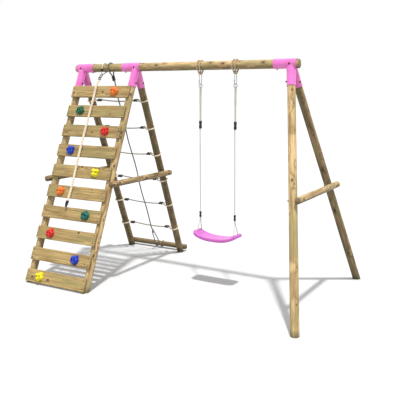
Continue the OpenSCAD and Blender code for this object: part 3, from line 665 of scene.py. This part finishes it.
def net_spine():
    """The dark rope down the net, its eye, and the strop round the foot pole."""
    line = [(SPINE_X, x, -y) for x, y in noose(BEAM_R, SPINE_CLAMP - IN_CLAMP)]
    last_rung = FIRST_RUNG + (RUNGS - 1) * RUNG_PITCH
    line += [(SPINE_X, SPINE_CLAMP + CLAMP_LEN, STRAND_GAP / 2), (SPINE_X, FIRST_RUNG, -SPINE_OFF),
             (SPINE_X, last_rung + RUNG_SAG + NET_ROPE_D, -SPINE_OFF),
             (SPINE_X, EYE_AT - EYE_R - 0.005, 0)]
    path = smooth([from_net(p) for p in line], ROPE_STEP)
    down = (path - NET_TOP).dot(NET_DOWN)
    slack = rise(down, 0.15, 0.45) * rise(down, EYE_AT - 0.05, EYE_AT - 0.35)
    path[:, 0] += SPINE_WAVE * slack * np.sin(math.pi * (down - FIRST_RUNG) / RUNG_PITCH)
    shape = Shape()
    laid_rope(shape, path, NET_ROPE_D, NET_LAY)
    eye = circle(from_net((SPINE_X, EYE_AT, 0)), Y, Z, EYE_R, 32)
    shape.tube(eye, 0.005, 12, closed=True, **UNLAID, **UNDYED)
    center = (-LEG_R - BRACE_R - GAP, BRACE_R - SLOPE)
    around = arc(center, BRACE_R + STROP_D / 2 + GAP, 20, -215, 24)
    line = [(SPINE_X - STROP_HALF, -y, -x) for x, y in around[::-1]]
    line += [(SPINE_X + 0.014 * t, EYE_AT + 0.003 * t * t, 0) for t in np.linspace(-1, 1, 7)]
    line += [(SPINE_X + STROP_HALF, -y, -x) for x, y in around]
    laid_rope(shape, smooth([from_net(p) for p in line], SHORT_STEP), STROP_D, 0.04)
    shape.build("net_spine_rope", rope_grey, "frame", "net_spine")


net_spine()

# Slings over the beam. Each swing sling is laid over it twice and ends in two round bights.
SLING_D = 0.014
STRAND_X = 0.013
PIVOT_DROP = BEAM_Z - PIVOT_Z


def swing_sling(shape, x):
    r = BEAM_R + SLING_D / 2 + GAP
    half = SLING_D / 2 + 2 * GAP
    turn = math.degrees(math.acos((r - half) / (PIVOT_DROP - STRAND_X)))

    def over(at):
        return [(at, -b, -a) for a, b in arc((0, 0), r, turn, 360 - turn, 24)]

    def bight(side, start, end):
        center = (0, STRAND_X - PIVOT_DROP)
        return [(a, side * half, b) for a, b in arc(center, STRAND_X, start, end, 8)]

    line = bight(-1, 272, 360) + over(STRAND_X) + bight(1, 0, -180) + over(-STRAND_X)[::-1]
    line += bight(-1, 180, 268)
    path = smooth([vec(x, 0, BEAM_Z) + vec(*p) for p in line], SHORT_STEP)
    # Painted shade: the swing slings are dyed tan to look shaded.
    laid_rope(shape, path, SLING_D, 0.044, dye=SHADED_TAN)


CLIMB_X = LEFT + 0.280
LEAN = math.radians(40)
CLIMB_SLING_D = 0.012
BIGHT_AT = 0.078


def in_beam_plane(x, y=0.0):
    """A point of the plane across the beam at the climbing rope: along its lean, and across."""
    return vec(CLIMB_X, -x * math.sin(LEAN) - y * math.cos(LEAN),
               BEAM_Z - x * math.cos(LEAN) + y * math.sin(LEAN))


def climb_sling_points():
    r, small_r = BEAM_R + CLIMB_SLING_D / 2 + GAP, 0.011
    turn = math.degrees(math.acos((r - small_r) / BIGHT_AT))
    big = arc((0, 0), r, turn, 360 - turn, 28)
    small = arc((BIGHT_AT, 0), small_r, -turn, turn, 10)
    middle = ((small[-1][0] + big[0][0]) / 2, (small[-1][1] + big[0][1]) / 2)
    return [middle, *big, *small, middle]


slings = Shape()
for x in SWING_X:
    swing_sling(slings, x)
path = smooth([in_beam_plane(*p) for p in climb_sling_points()], SHORT_STEP)
laid_rope(slings, path, CLIMB_SLING_D, 0.04)
slings.build("sling_ropes", rope_cream, "frame", "rope_slings")

# ---- Rope clamps and adjusters ----


def clamp_block(shape, start, along, across, d, length, apart):
    """A moulded two-lobed clamp from start, with its bores side by side."""
    third = np.cross(along, across)
    wide, waist = (d + 0.009) / 2, (d + 0.005) / 2
    lobe = 0.38 * length
    stations = mirrored([(0.0, wide - 0.003), (0.0012, wide - 0.0010), (0.003, wide),
                         (lobe - 0.003, wide), (lobe - 0.001, wide - 0.0008),
                         (lobe, waist + 0.0003), (lobe + 0.001, waist)], length)
    angles = turns(40) + math.pi / 40
    points = []
    for t, w in stations:
        for a in angles:
            side = math.copysign(apart / 2, math.cos(a)) + w * math.cos(a)
            points.append(start + along * t + across * side + third * w * math.sin(a))
    shape.add(points, capped_grid(len(stations), len(angles)))


shape = Shape()
net_clamp = (NET_OUT, NET_ROPE_D, CLAMP_LEN, STRAND_GAP)
for i in range(RUNGS):
    for x, way in ((CLAMP_AT, X), (CLIMB_BAY - CLAMP_AT, -X)):
        clamp_block(shape, from_net((x, FIRST_RUNG + RUNG_PITCH * i, 0)), way, *net_clamp)
clamp_block(shape, from_net((SPINE_X, SPINE_CLAMP, 0)), NET_DOWN, *net_clamp)
middle, after = (in_beam_plane(*p) for p in climb_sling_points()[:2])
profile = mirrored([(-0.015, 0.008), (-0.0140, 0.0100), (-0.012, 0.011), (-0.004, 0.011),
                    (-0.003, 0.0095)])
shape.turned(middle, unit(after - middle), profile, 28)
shape.build("rope_clamp_blocks", black_plastic, "frame", "rope_clamps", sharp=50)

# ---- Wooden poles ----

POLE_SIDES = 96
EASE = 0.003  # how far the ends are eased
RIM = 0.0008


def drying_cracks(length, rows):
    """Depth of thin cracks for each row and side, from 0 to 1."""
    cracks = np.zeros((rows, POLE_SIDES))
    for _ in range(2 + int(length * 2.4)):
        start = RNG.uniform(-0.1, 0.95) * length
        reach = RNG.uniform(0.08, 0.42)
        angle = RNG.uniform(0, 2 * math.pi)
        drift = RNG.uniform(-0.35, 0.35)
        deep = RNG.uniform(0.35, 1.0)
        for i, t in enumerate((np.linspace(0, length, rows) - start) / reach):
            if 0 < t < 1:
                k = round((angle + drift * t * reach) / (2 * math.pi) * POLE_SIDES) % POLE_SIDES
                cracks[i, k] = max(cracks[i, k], deep * math.sin(math.pi * t) ** 0.6)
    return cracks


def pole(name, start, end, r, tone=1.0, foot=False):
    """A round pole from start to end with eased ends. A foot's end is cut level at Z = 0."""
    axis = unit(end - start)
    length = float(np.linalg.norm(end - start))
    side = unit(np.cross(Z if abs(axis[2]) < 0.9 else X, axis))
    up = np.cross(axis, side)
    between = np.linspace(0, length, int(length / 0.014) + 2)[1:-1]
    between[0], between[-1] = EASE, length - EASE
    stations = np.concatenate([[0, 0, RIM], between, [length - RIM, length, length]])
    radii = np.full(len(stations), r)
    radii[[0, 1, 2]] = radii[[-1, -2, -3]] = 0.45 * r, r - EASE, r - 0.0010
    phases = [RNG.uniform(0, 2 * math.pi) for _ in range(4)]
    cracks = np.zeros((len(stations), POLE_SIDES))
    cracks[2:-2] = drying_cracks(length, len(stations) - 4)
    offset = vec(RNG.uniform(-0.006, 0.006), RNG.uniform(-0.006, 0.006), RNG.uniform(0, 40))
    t, a = stations[:, None], turns(POLE_SIDES)
    wave = (np.sin(3 * a + phases[0] + 5 * t) + np.sin(2 * a + phases[1] - 9 * t)
            + np.sin(13 * t + phases[2]) - 3)
    wave[:3] = wave[-3:] = -2.5
    w = radii[:, None] + 0.00016 * wave - 0.0022 * cracks
    radial = np.cos(a)[:, None] * side + np.sin(a)[:, None] * up
    points = start + radial * w[..., None] + axis * t[..., None]
    damp = 0.0
    if foot:
        level = np.full(len(stations), EASE)
        level[-3:] = RIM, 0, 0
        cut = (t > length / 2) & (points[..., 2] < EASE)
        cut[-4:] = True
        points += np.where(cut, (level[:, None] - points[..., 2]) / axis[2], 0)[..., None] * axis
        # Darker and more olive within 5 cm of the ground, most at the foot's cut.
        damp = rise(points[..., 2], 0.05, 0) ** 0.5
    end = np.zeros(w.shape)
    end[:2] = end[-2:] = 1
    t, a = np.broadcast_arrays(t, a)
    grain = np.stack([w * np.cos(a), w * np.sin(a), t], axis=-1) + offset
    face = np.stack([r * a + offset[0] * 90, t + offset[2], 0 * w], axis=-1)
    # Painted shade: the pole's brightness is lowered on its downward-facing side, by up to 55 %
    # right underneath.
    shade = tone * (1 - 0.55 * np.maximum(0, -radial[:, 2]) ** 0.7) + 0 * w
    shape = Shape()
    shape.add(points, capped_grid(*w.shape), grain=grain, face=face, crack=cracks, end=end,
              tone=shade, damp=damp)
    shape.build(name + "_timber", pole_wood, "frame", name, sharp=40)


def pole_in_box(name, axis, r, tone=1.0):
    """A pole along X or Y that fills its CAD node's box."""
    low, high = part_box(name)
    start, end = np.array([(low + high) / 2] * 2)
    start[axis], end[axis] = low[axis], high[axis]
    pole(name, start, end, r, tone)


def leg(name, which, side, tone=1.0):
    top = vec(FRAME_X[which], 0, BEAM_Z)
    foot = vec(FRAME_X[which] + FRAME_SPLAY[which], side * REACH, 0)
    pole(name, top + unit(foot - top) * LEG_START, foot, LEG_R, tone, foot=True)


# The last number of each pole is its brightness: its own tone, plus painted shade that makes the
# rear legs, the foot pole and the cross poles much darker, as the light reaches them least.
pole_in_box("top_beam", 0, BEAM_R, 1.04)
pole_in_box("foot_pole", 0, BRACE_R, 0.48)
pole_in_box("cross_pole_left", 1, BRACE_R, 0.70)
pole_in_box("cross_pole_middle", 1, BRACE_R, 0.76)
pole_in_box("cross_pole_right", 1, BRACE_R, 0.86)
leg("wall_leg_left", 0, -1, 0.92)
leg("wall_leg_right", 1, -1, 1.02)
leg("net_leg_left", 0, 1, 0.50)
leg("net_leg_right", 1, 1, 0.54)
leg("end_leg_front", 2, -1, 1.08)
leg("end_leg_rear", 2, 1, 0.60)

# ---- Boards ----


def board_at(i):
    """How far down the slope a board's middle is."""
    return FIRST_BOARD + BOARD_PITCH * i + BOARD_W / 2


def board(i):
    """A sawn board with eased edges and a slight wave along its faces."""
    corner, ease, rim = 0.003, 0.002, 0.0006
    half_w, half_t = BOARD_W / 2, BOARD_T / 2
    outline = []
    for sy, sz, start in ((1, 1, 0), (-1, 1, 90), (-1, -1, 180), (1, -1, 270)):
        center = (sy * (half_w - corner), sz * (half_t - corner))
        outline += arc(center, corner, start, start + 90, 3)
        if sy == sz:
            flat = BOARD_W - 2 * corner
            outline += [(sy * (half_w - corner - flat * k / 12), sz * half_t) for k in range(1, 12)]
    rows = 48
    stations = np.concatenate([[0, rim], np.linspace(ease, BOARD_LEN - ease, rows),
                               [BOARD_LEN - rim, BOARD_LEN]])
    shrink = np.concatenate([[ease, rim], np.zeros(rows), [rim, ease]])
    phases = [RNG.uniform(0, 6.28) for _ in range(4)]
    offset = (RNG.uniform(-0.05, 0.05), RNG.uniform(-0.075, -0.025), RNG.uniform(0, 40))
    tone = RNG.uniform(0.87, 1.05)
    middle = from_wall((CLIMB_BAY / 2, board_at(i), BOARD_FACE - half_t))
    points, grain, face, end, shade = [], [], [], [], []
    for x, less in zip(stations, shrink):
        for y, z in outline:
            wave = math.sin(7 * x + phases[0] + 20 * y) + math.sin(17 * x + phases[1]) - 2
            edge = math.sin(11 * x + phases[2]) + math.sin(23 * x + phases[3] + 30 * z) - 2
            edge = 0.0004 * edge if abs(y) > half_w - corner else 0
            yy = y + math.copysign(1, y) * (edge - less)
            zz = z - math.copysign(less, z) + (0.00022 * wave if z > 0 else 0)
            points.append(middle + X * (x - BOARD_LEN / 2) + WALL_UP * yy + WALL_OUT * zz)
            grain.append((yy + offset[0], zz + offset[1], x + offset[2]))
            face.append((yy + zz + offset[0] * 30, x + offset[2], 0.0))
            end.append(1.0 if x in (stations[0], stations[-1]) else 0.0)
            # Painted shade: the board's lower edge gets half of its brightness, as if shaded by the
            # board itself; elsewhere it keeps the board's random tone.
            shade.append(tone * (0.5 if y < -half_w + 0.4 * corner else 1.0))
    shape = Shape()
    shape.add(points, capped_grid(len(stations), len(outline)), grain=grain, face=face, end=end,
              crack=0.0, damp=0.0, tone=shade)
    node = f"climb_board_{i + 1:02d}"
    shape.build(node + "_plank", board_wood, "frame", node, sharp=40)


for i in range(BOARDS):
    board(i)


def screw_heads():
    """Countersunk heads, level with the boards, each with a cross recess."""
    shape = Shape()
    around = 32
    profile = ((0.0046, -0.0016), (0.0050, 0.0), (0.0047, 0.0003), (0.0028, 0.0004),
               (0.0012, 0.0004))
    for i, x, y in itertools.product(range(BOARDS), (0, CLIMB_BAY), (-1, 1)):
        c = from_wall((x, board_at(i) - y * SCREW_OFFSET, BOARD_FACE))
        spin = RNG.uniform(0, math.pi / 2)
        points = []
        for r, h in profile:
            for a in turns(around):
                dip = 0.0011 if r < 0.003 and abs(math.sin(2 * (a + spin))) < 0.38 else 0.0
                aside = r * (X * math.cos(a) + WALL_UP * math.sin(a))
                points.append(c + aside + WALL_OUT * (h - dip))
        points.append(c - WALL_OUT * 0.0012)
        shape.add(points, domed_grid(len(profile), around))
    shape.build("board_screw_heads", black_steel, "frame", "board_screws", sharp=40)


screw_heads()

# ---- Climbing holds ----

HOLD_D = 0.096
HOLD_H = 0.042
HOLD_SIDE = 0.180
HOLD_BOLT = 0.017
HOLD_COLORS = "orange green red blue yellow orange teal red blue yellow".split()


def hold_dimple(r):
    return 0.006 * math.exp(-(((r - 0.004) / 0.014) ** 2))


def hold_lump(i):
    """A knobbly moulded grip on a flat back, in its own frame, with Z off the board."""
    around, rows = 96, 30
    lobes, depth = (4, 0.22) if i % 5 == 4 else (5, 0.11)
    turn = math.radians(50 * i)
    points = []
    for k in range(rows):
        t = math.pi / 2 * k / rows
        for a in turns(around):
            rim = HOLD_D / 2 * (1 - depth * (1 - math.cos(lobes * a + turn)) / 2
                                - 0.09 * (1 - math.cos(3 * a + math.radians(70 * i))) / 2)
            r = rim * math.cos(t) ** 0.62
            ridge = math.cos(lobes * a + turn)
            r *= 1 - 0.10 * math.sin(t) * (1 - ridge) / 2
            z = HOLD_H * math.sin(t) * (0.93 + 0.07 * ridge * math.cos(t)) - hold_dimple(r)
            z += (0.0006 * math.sin(90 * r * math.cos(a) + i)
                  * math.sin(80 * r * math.sin(a) + 2 * i) * math.sin(t))
            points.append((r * math.cos(a), r * math.sin(a), max(z, 0.0)))
    points.append((0, 0, HOLD_H * 0.93 - hold_dimple(0.0)))
    return new_mesh("lump", points, domed_grid(rows, around))


def make_holds():
    """Every hold, with its two countersunk bolt pockets cut out of the grip."""
    pockets = Shape()
    profile = [(0.016, 0.0075), (0.027, 0.0075), (0.031, 0.0083), (0.034, 0.0098), (0.06, 0.0102)]
    for side in (-1, 1):
        pockets.turned(X * side * HOLD_BOLT, Z, profile, 36)
    cutter = new_object("pockets", new_mesh("pockets", pockets.points, pockets.faces))
    for i in range(BOARDS):
        lump = new_object("lump", hold_lump(i))
        cut = lump.modifiers.new("pockets", "BOOLEAN")
        cut.operation, cut.object, cut.solver = "DIFFERENCE", cutter, "EXACT"
        bpy.context.view_layer.update()
        evaluated = lump.evaluated_get(bpy.context.evaluated_depsgraph_get())
        mesh = bpy.data.meshes.new_from_object(evaluated)
        side = 1 if i % 2 == 0 else -1
        c = from_wall((CLIMB_BAY / 2 + side * HOLD_SIDE, board_at(i), BOARD_FACE))
        ways = np.stack([X, WALL_UP, WALL_OUT, c], axis=1)
        mesh.transform(Matrix([*ways.tolist(), (0, 0, 0, 1)]))
        node = f"hold_{i + 1:02d}"
        place(node + "_grip", mesh, hold_paints[HOLD_COLORS[i]], "frame", node, sharp=38)
        bpy.data.objects.remove(lump)
    bpy.data.objects.remove(cutter)


make_holds()

# ---- Bracket welds and rims ----


def bracket_trim(name, which):
    """Rounded rims on a bracket's open ends and the weld beads round its leg tubes."""
    shape = Shape()
    x = FRAME_X[which]
    top = vec(x, 0, BEAM_Z)
    rim = WALL_THICKNESS / 2
    start = x - SLEEVE_OUT if which == 0 else x + SLEEVE_OUT - SLEEVE_LEN
    for at in (start, start + SLEEVE_LEN):
        shape.tube(circle(vec(at, 0, BEAM_Z), Y, Z, SLEEVE_R - rim, 64), rim, 10, closed=True)
    for side in (-1, 1):
        d = unit(vec(FRAME_SPLAY[which], side * REACH, -BEAM_Z))
        u = unit(np.cross(d, X))
        v = np.cross(d, u)
        shape.tube(circle(top + d * TUBE_REACH, u, v, TUBE_R - rim, 64), rim, 10, closed=True)
        bead = []
        for q in circle(vec(0, 0, 0), u, v, TUBE_R, 160):
            # Where the tube's line through q leaves the sleeve.
            a, b, c = d[1:].dot(d[1:]), 2 * d[1:].dot(q[1:]), q[1:].dot(q[1:]) - SLEEVE_R**2
            bead.append(top + q + d * (-b + math.sqrt(b * b - 4 * a * c)) / (2 * a))
        ripple = 0.0026 + 0.0003 * np.sin(np.arange(len(bead)) * math.pi / 2)
        shape.tube(bead, ripple, 8, closed=True)
    shape.build(name, bracket_pink, "frame")


for which, side_name in enumerate(("left", "middle", "right")):
    bracket_trim(f"bracket_{side_name}_trim", which)
    coat(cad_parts[f"bracket_{side_name}"], bracket_pink)

# ---- Swing hardware ----

HOOK_R = 0.020
HOOK_WIRE = 0.008
HOOK_STRAIGHT = 0.077
GATE_HINGE = 0.062
GATE_R = 0.0036
RING_R = 0.0175
RING_WIRE = 0.007
LINK_PLAY = 0.0008
RING_Z = PIVOT_Z - HOOK_STRAIGHT - HOOK_R + (HOOK_WIRE + RING_WIRE) / 2 + LINK_PLAY - RING_R


def swing_hooks():
    """Both hooks: a bent wire with two cheeks that hold the gate's rivet."""
    shape = Shape()
    outline = [(-HOOK_R, -0.022), (-HOOK_R, -0.011), *arc((0, 0), HOOK_R, 180, 0, 24),
               (HOOK_R, -HOOK_STRAIGHT / 2), *arc((0, -HOOK_STRAIGHT), HOOK_R, 0, -180, 24),
               (-HOOK_R, -GATE_HINGE - 0.006)]
    cheek = [*arc((0, 0), 0.0048, 180, 0, 14), (0.0048, -0.012), (-0.0048, -0.012)]
    for x in SWING_X:
        origin = vec(x, 0, PIVOT_Z)
        shape.tube(even([origin + vec(0, a, b) for a, b in outline], 0.0025), HOOK_WIRE / 2, 18)
        for side in (-1, 1):
            c = origin + vec(side * 0.0036, -HOOK_R, -GATE_HINGE)
            points = [c + vec(dx, a, b) for dx in (-0.001, 0.001) for a, b in cheek]
            shape.add(points, capped_grid(2, len(cheek)))
    shape.build("swing_hook_bodies", steel, "swing", "swing_hooks", sharp=45)


def hook_gate(side_name, x):
    """The gate: a round bar with a nose groove, a hinge flat and its rivet."""
    shape = Shape()
    origin = vec(x, -HOOK_R, PIVOT_Z)
    r = GATE_R
    shape.turned(origin, Z, [
        (-0.0656, 0.0022), (-0.064, 0.0023), (-0.054, 0.0023), (-0.0532, r - 0.0004), (-0.0526, r),
        (-0.030, r), (-0.0294, r - 0.0006), (-0.0286, r - 0.0006), (-0.028, r), (-0.0232, r),
        (-0.0226, r - 0.0006)], 20)
    hinge = origin - Z * GATE_HINGE
    shape.turned(hinge, X, mirrored([(-0.0023, 0.0034)]), 20)
    shape.turned(hinge, X, mirrored([(-0.0051, 0.0010), (-0.0050, 0.0015)]), 16)
    gate = f"gate_{side_name}"
    shape.build(gate + "_bar", steel, gate, "hook_" + gate, sharp=45)


swing_hooks()
for side_name, x in SWING_SIDES:
    hook_gate(side_name, x)

rings = Shape()
for x in SWING_X:
    rings.tube(circle(vec(x, 0, RING_Z), X, Z, RING_R, 64), RING_WIRE / 2, 18, closed=True)
rings.build("swing_ring_wires", steel, "swing", "swing_rings")

# ---- Swing ropes and adjusters ----

SWING_ROPE_D = 0.012
STRAND_Y = SWING_ROPE_D / 2 + 0.0015
UPPER_TOP, UPPER_BOTTOM = 1.500, 1.430
SEAT_PIVOT_Z = 0.600
LOWER_Z = SEAT_PIVOT_Z + 0.009
LOWER_LEN = 0.052
BEND_R = (RING_WIRE + SWING_ROPE_D) / 2 + LINK_PLAY
BEND_Z = RING_Z - RING_R


def swing_rope(side_name, x):
    bend = arc((0, BEND_Z), BEND_R, 0, 180, 16)
    line = [(STRAND_Y, UPPER_BOTTOM + 0.008), (STRAND_Y, UPPER_TOP + 0.004), *bend,
            (-STRAND_Y, UPPER_TOP + 0.004), (-STRAND_Y, UPPER_BOTTOM - 0.004),
            (0, LOWER_Z + LOWER_LEN + 0.004), (0, LOWER_Z + 0.020)]
    shape = Shape()
    path = smooth([vec(x, a, b) for a, b in line], ROPE_STEP)
    laid_rope(shape, path, SWING_ROPE_D, 0.038, dye=GREY)
    node = f"swing_rope_{side_name}"
    shape.build(node + "_strands", rope_cream, "swing", node)


for side_name, x in SWING_SIDES:
    swing_rope(side_name, x)

adjusters = Shape()
for x in SWING_X:
    for top, length, apart in ((UPPER_TOP, UPPER_TOP - UPPER_BOTTOM, 2 * STRAND_Y),
                               (LOWER_Z + LOWER_LEN, LOWER_LEN, 0.0005)):
        clamp_block(adjusters, vec(x, 0, top), -Z, Y, SWING_ROPE_D, length, apart)
adjusters.build("swing_adjuster_blocks", black_plastic, "swing", "swing_adjusters", sharp=50)

# ---- Seat ----

SEAT_X = (SWING_X[0] + SWING_X[1]) / 2
SEAT_Z = 0.437
SEAT_LEN = 0.450
SEAT_W = 0.165
SEAT_T = 0.006
SEAT_RISE = 0.054
SEAT_POWER = 2.6
SEAT_LIP = 0.024
SEAT_CORNER = 0.045
STRAND_IN = 0.035
STRAND_HOLE_Y = 0.045
SEAT_STRAND_D = 0.009
KNOT_R = 0.00375


def seat_curve(x):
    return SEAT_Z + SEAT_RISE * (abs(x) / (SEAT_LEN / 2)) ** SEAT_POWER


def seat_outline(inset):
    """The seat's outline, inset by a distance, with points that match at every inset."""
    half_l, half_w = SEAT_LEN / 2 - inset, SEAT_W / 2 - inset
    r = max(SEAT_CORNER - inset, 0.0)
    cx, cy = half_l - r, half_w - r
    corners = [arc((sx * cx, sy * cy), r, start, start + 90, 10)
               for sx, sy, start in ((1, 1, 0), (-1, 1, 90), (-1, -1, 180), (1, -1, 270))]
    line = []
    for k, corner in enumerate(corners):
        steps = 44 if k % 2 == 0 else 14
        side = np.linspace(corner[-1], corners[(k + 1) % 4][0], steps + 1)
        line += corner + [tuple(p) for p in side[1:-1]]
    return line


def swing_seat():
    """A moulded shell: dished top between raised ends, rolled edge and a lip all round."""
    wall = SEAT_T - 0.0005
    lip = SEAT_T + SEAT_LIP
    roll = 0.011
    crown = [0.016, 0.024, 0.034, 0.045, 0.056, 0.068, SEAT_W / 2]

    def dish(e, x):
        return 0.0032 * rise(e, 0.011, 0.041) * soft(rise(abs(x), 0.172, 0.158))

    def shoulder(x, y):
        """The raised ridge that the strands enter at each end."""
        along = rise(abs(x), 0.156, 0.174) * rise(abs(x), 0.219, 0.203)
        return 0.009 * soft(along * rise(abs(y), 0.072, 0.056))

    shape = Shape()
    points = []
    for e in crown[::-1]:
        points += [(x, y, seat_curve(x) - wall - dish(e, x)) for x, y in seat_outline(e)]
    edge = [(wall + 0.0025, wall + 0.0002), (wall + 0.0005, wall + 0.002), (wall, lip - 0.003),
            (wall - 0.0006, lip - 0.0006), (wall / 2, lip), (0.0006, lip - 0.0006),
            (0.0, lip - 0.0022)]
    edge += [(roll * (1 - math.cos(a)), roll * (1 - math.sin(a)))
             for a in np.radians((0, 20, 40, 60, 78, 90))]
    for inset, depth in edge:
        points += [(x, y, seat_curve(x) - depth) for x, y in seat_outline(inset)]
    for e in crown:
        points += [(x, y, seat_curve(x) - dish(e, x) + shoulder(x, y)) for x, y in seat_outline(e)]
    n = len(seat_outline(0.0))
    points = [(SEAT_X + x, y, z) for x, y, z in points]
    shape.add(points, grid_faces(len(points) // n, n))
    seat = shape.build("swing_seat_shell", seat_pink, "seat", "swing_seat")
    joined = bmesh.new()
    joined.from_mesh(seat.data)
    bmesh.ops.remove_doubles(joined, verts=joined.verts, dist=1e-5)
    bmesh.ops.recalc_face_normals(joined, faces=joined.faces)
    joined.to_mesh(seat.data)
    joined.free()
    seat.data.shade_smooth()


swing_seat()


def knot(shape, center, size):
    """A small tight overhand knot, drawn as a closed trefoil."""
    line = [center + size * vec(0.19 * (math.sin(t) + 2 * math.sin(2 * t)),
                                0.19 * (math.cos(t) - 2 * math.cos(2 * t)), -0.30 * math.sin(3 * t))
            for t in turns(60)]
    shape.tube(line, KNOT_R, 10, closed=True, **UNLAID, **GREY)


def seat_ropes():
    strands, eyelets = Shape(), Shape()
    for i, x in enumerate(SWING_X):
        top = vec(x, 0, SEAT_PIVOT_Z)
        knot(strands, top, 0.012)
        for side in (-1, 1):
            at = (2 * i - 1) * (SEAT_LEN / 2 - STRAND_IN)
            hole = vec(SEAT_X + at, side * STRAND_HOLE_Y, seat_curve(at) - SEAT_T / 2)
            along = unit(hole - top)
            end = hole + along * 0.0155
            laid_rope(strands, even([top, hole, end], 0.003), SEAT_STRAND_D, 0.030, dye=GREY)
            knot(strands, end, 0.0125)
            slope = (SEAT_RISE * SEAT_POWER / (SEAT_LEN / 2)
                     * (1 - 2 * STRAND_IN / SEAT_LEN) ** (SEAT_POWER - 1) * (2 * i - 1))
            on_top = hole + Z * (SEAT_T / 2 + 0.0085) - along * vec(1, 1, 0) * 0.009
            collar = circle(on_top, unit(vec(1, 0, slope)), Y, 0.0078, 40)
            eyelets.tube(collar, 0.0017, 10, closed=True)
    strands.build("seat_strand_ropes", rope_cream, "seat", "seat_strands")
    eyelets.build("seat_eyelets", seat_pink, "seat")


seat_ropes()

# ---- Climbing rope's link and eye ----

LINK_WIRE = 0.007
LINK_R = 0.012
LINK_STRAIGHT = 0.026
LINK_TOP = BIGHT_AT + LINK_PLAY
LINK_BOTTOM = LINK_TOP + 2 * LINK_R + LINK_STRAIGHT
EYE_WIRE = 0.009
EYE_RING_R = 0.016
EYE_MIDDLE = LINK_BOTTOM + EYE_RING_R - (EYE_WIRE + LINK_WIRE) / 2 - 0.0013
ROPE_STARTS = 0.160
BINDING = 0.012
NUT_R = LINK_WIRE / 2 + 0.002
NUT_LEN = 0.018
ROPE_DOWN = unit(in_beam_plane(1.0) - in_beam_plane(0.0))


def climb_link():
    middle = LINK_TOP + LINK_R + LINK_STRAIGHT / 2
    outline = [(middle - 0.0005, LINK_R), *arc((LINK_TOP + LINK_R, 0), LINK_R, 90, 270, 18),
               *arc((LINK_BOTTOM - LINK_R, 0), LINK_R, -90, 90, 18), (middle + 0.0005, LINK_R)]
    shape = Shape()
    wire = [in_beam_plane(a) + X * b for a, b in outline]
    shape.tube(even(wire, 0.0025), LINK_WIRE / 2, 16)
    nut = mirrored([(0, NUT_R - 0.0006), (0.0006, NUT_R)], NUT_LEN)
    shape.turned(in_beam_plane(middle - NUT_LEN / 2) + X * LINK_R, ROPE_DOWN, nut, 6)
    shape.build("climb_link", black_steel, "frame", "climb_hook", sharp=40)


def climb_eye():
    """The climbing rope's eye and the binding of its splice."""
    shape = Shape()
    c = in_beam_plane(EYE_MIDDLE)
    side = np.cross(ROPE_DOWN, X)
    ring = circle(c, ROPE_DOWN, side, EYE_RING_R, 65)
    laid_rope(shape, even(ring + ring[:1], 0.003), EYE_WIRE, 0.024, dye=SLATE)
    start = in_beam_plane(ROPE_STARTS - BINDING)
    r = CLIMB_ROPE_D / 2 - 0.0005
    wraps = [start + ROPE_DOWN * BINDING * t
             + r * (math.cos(12 * math.pi * t) * X + math.sin(12 * math.pi * t) * side)
             for t in np.linspace(0, 1, 90)]
    shape.tube(wraps, 0.0013, 8, **UNLAID, **SOOT)
    core = [start + ROPE_DOWN * t for t in np.linspace(0, BINDING, 4)]
    shape.tube(core, r, 20, **UNLAID, **UNDYED)
    shape.build("climb_rope_eye_splice", rope_cream, "climbing_rope", "climb_rope_eye")


climb_link()
climb_eye()

# ---- Other CAD nodes that stay ----

for node in ("frame_bolts", "nuts", "hold_bolts"):
    coat(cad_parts[node], black_steel)

# ---- Floor and light ----

LIGHT_TRAVEL = (-0.070, 0.085, -0.437)

floor_corners = [(-60, -60, 0), (60, -60, 0), (60, 60, 0), (-60, 60, 0)]
floor = new_object("floor", new_mesh("floor", floor_corners, [(0, 1, 2, 3)]))
floor_paint = Paint("floor", Specular_IOR_Level=0.2)
cloud = floor_paint.noise(floor_paint.position(), 0.6, 2.0)
tint = floor_paint.mix(cloud, (0.475, 0.475, 0.475), (0.485, 0.485, 0.485))
floor.data.materials.append(floor_paint.finish(tint, 0.8))

sun = bpy.data.lights.new("key", "SUN")
sun.energy = 4.2
sun.angle = math.radians(3.0)
holder = new_object("key", sun)
holder.rotation_mode = "QUATERNION"
holder.rotation_quaternion = Vector(LIGHT_TRAVEL).to_track_quat("-Z", "Y")
world = bpy.data.worlds.new("studio")
world.use_nodes = True
bpy.context.scene.world = world
sky = world.node_tree.nodes["Background"]
sky.inputs["Color"].default_value = (1.0, 1.0, 1.0, 1.0)
sky.inputs["Strength"].default_value = 1.0
bpy.context.scene.view_settings.view_transform = "Standard"
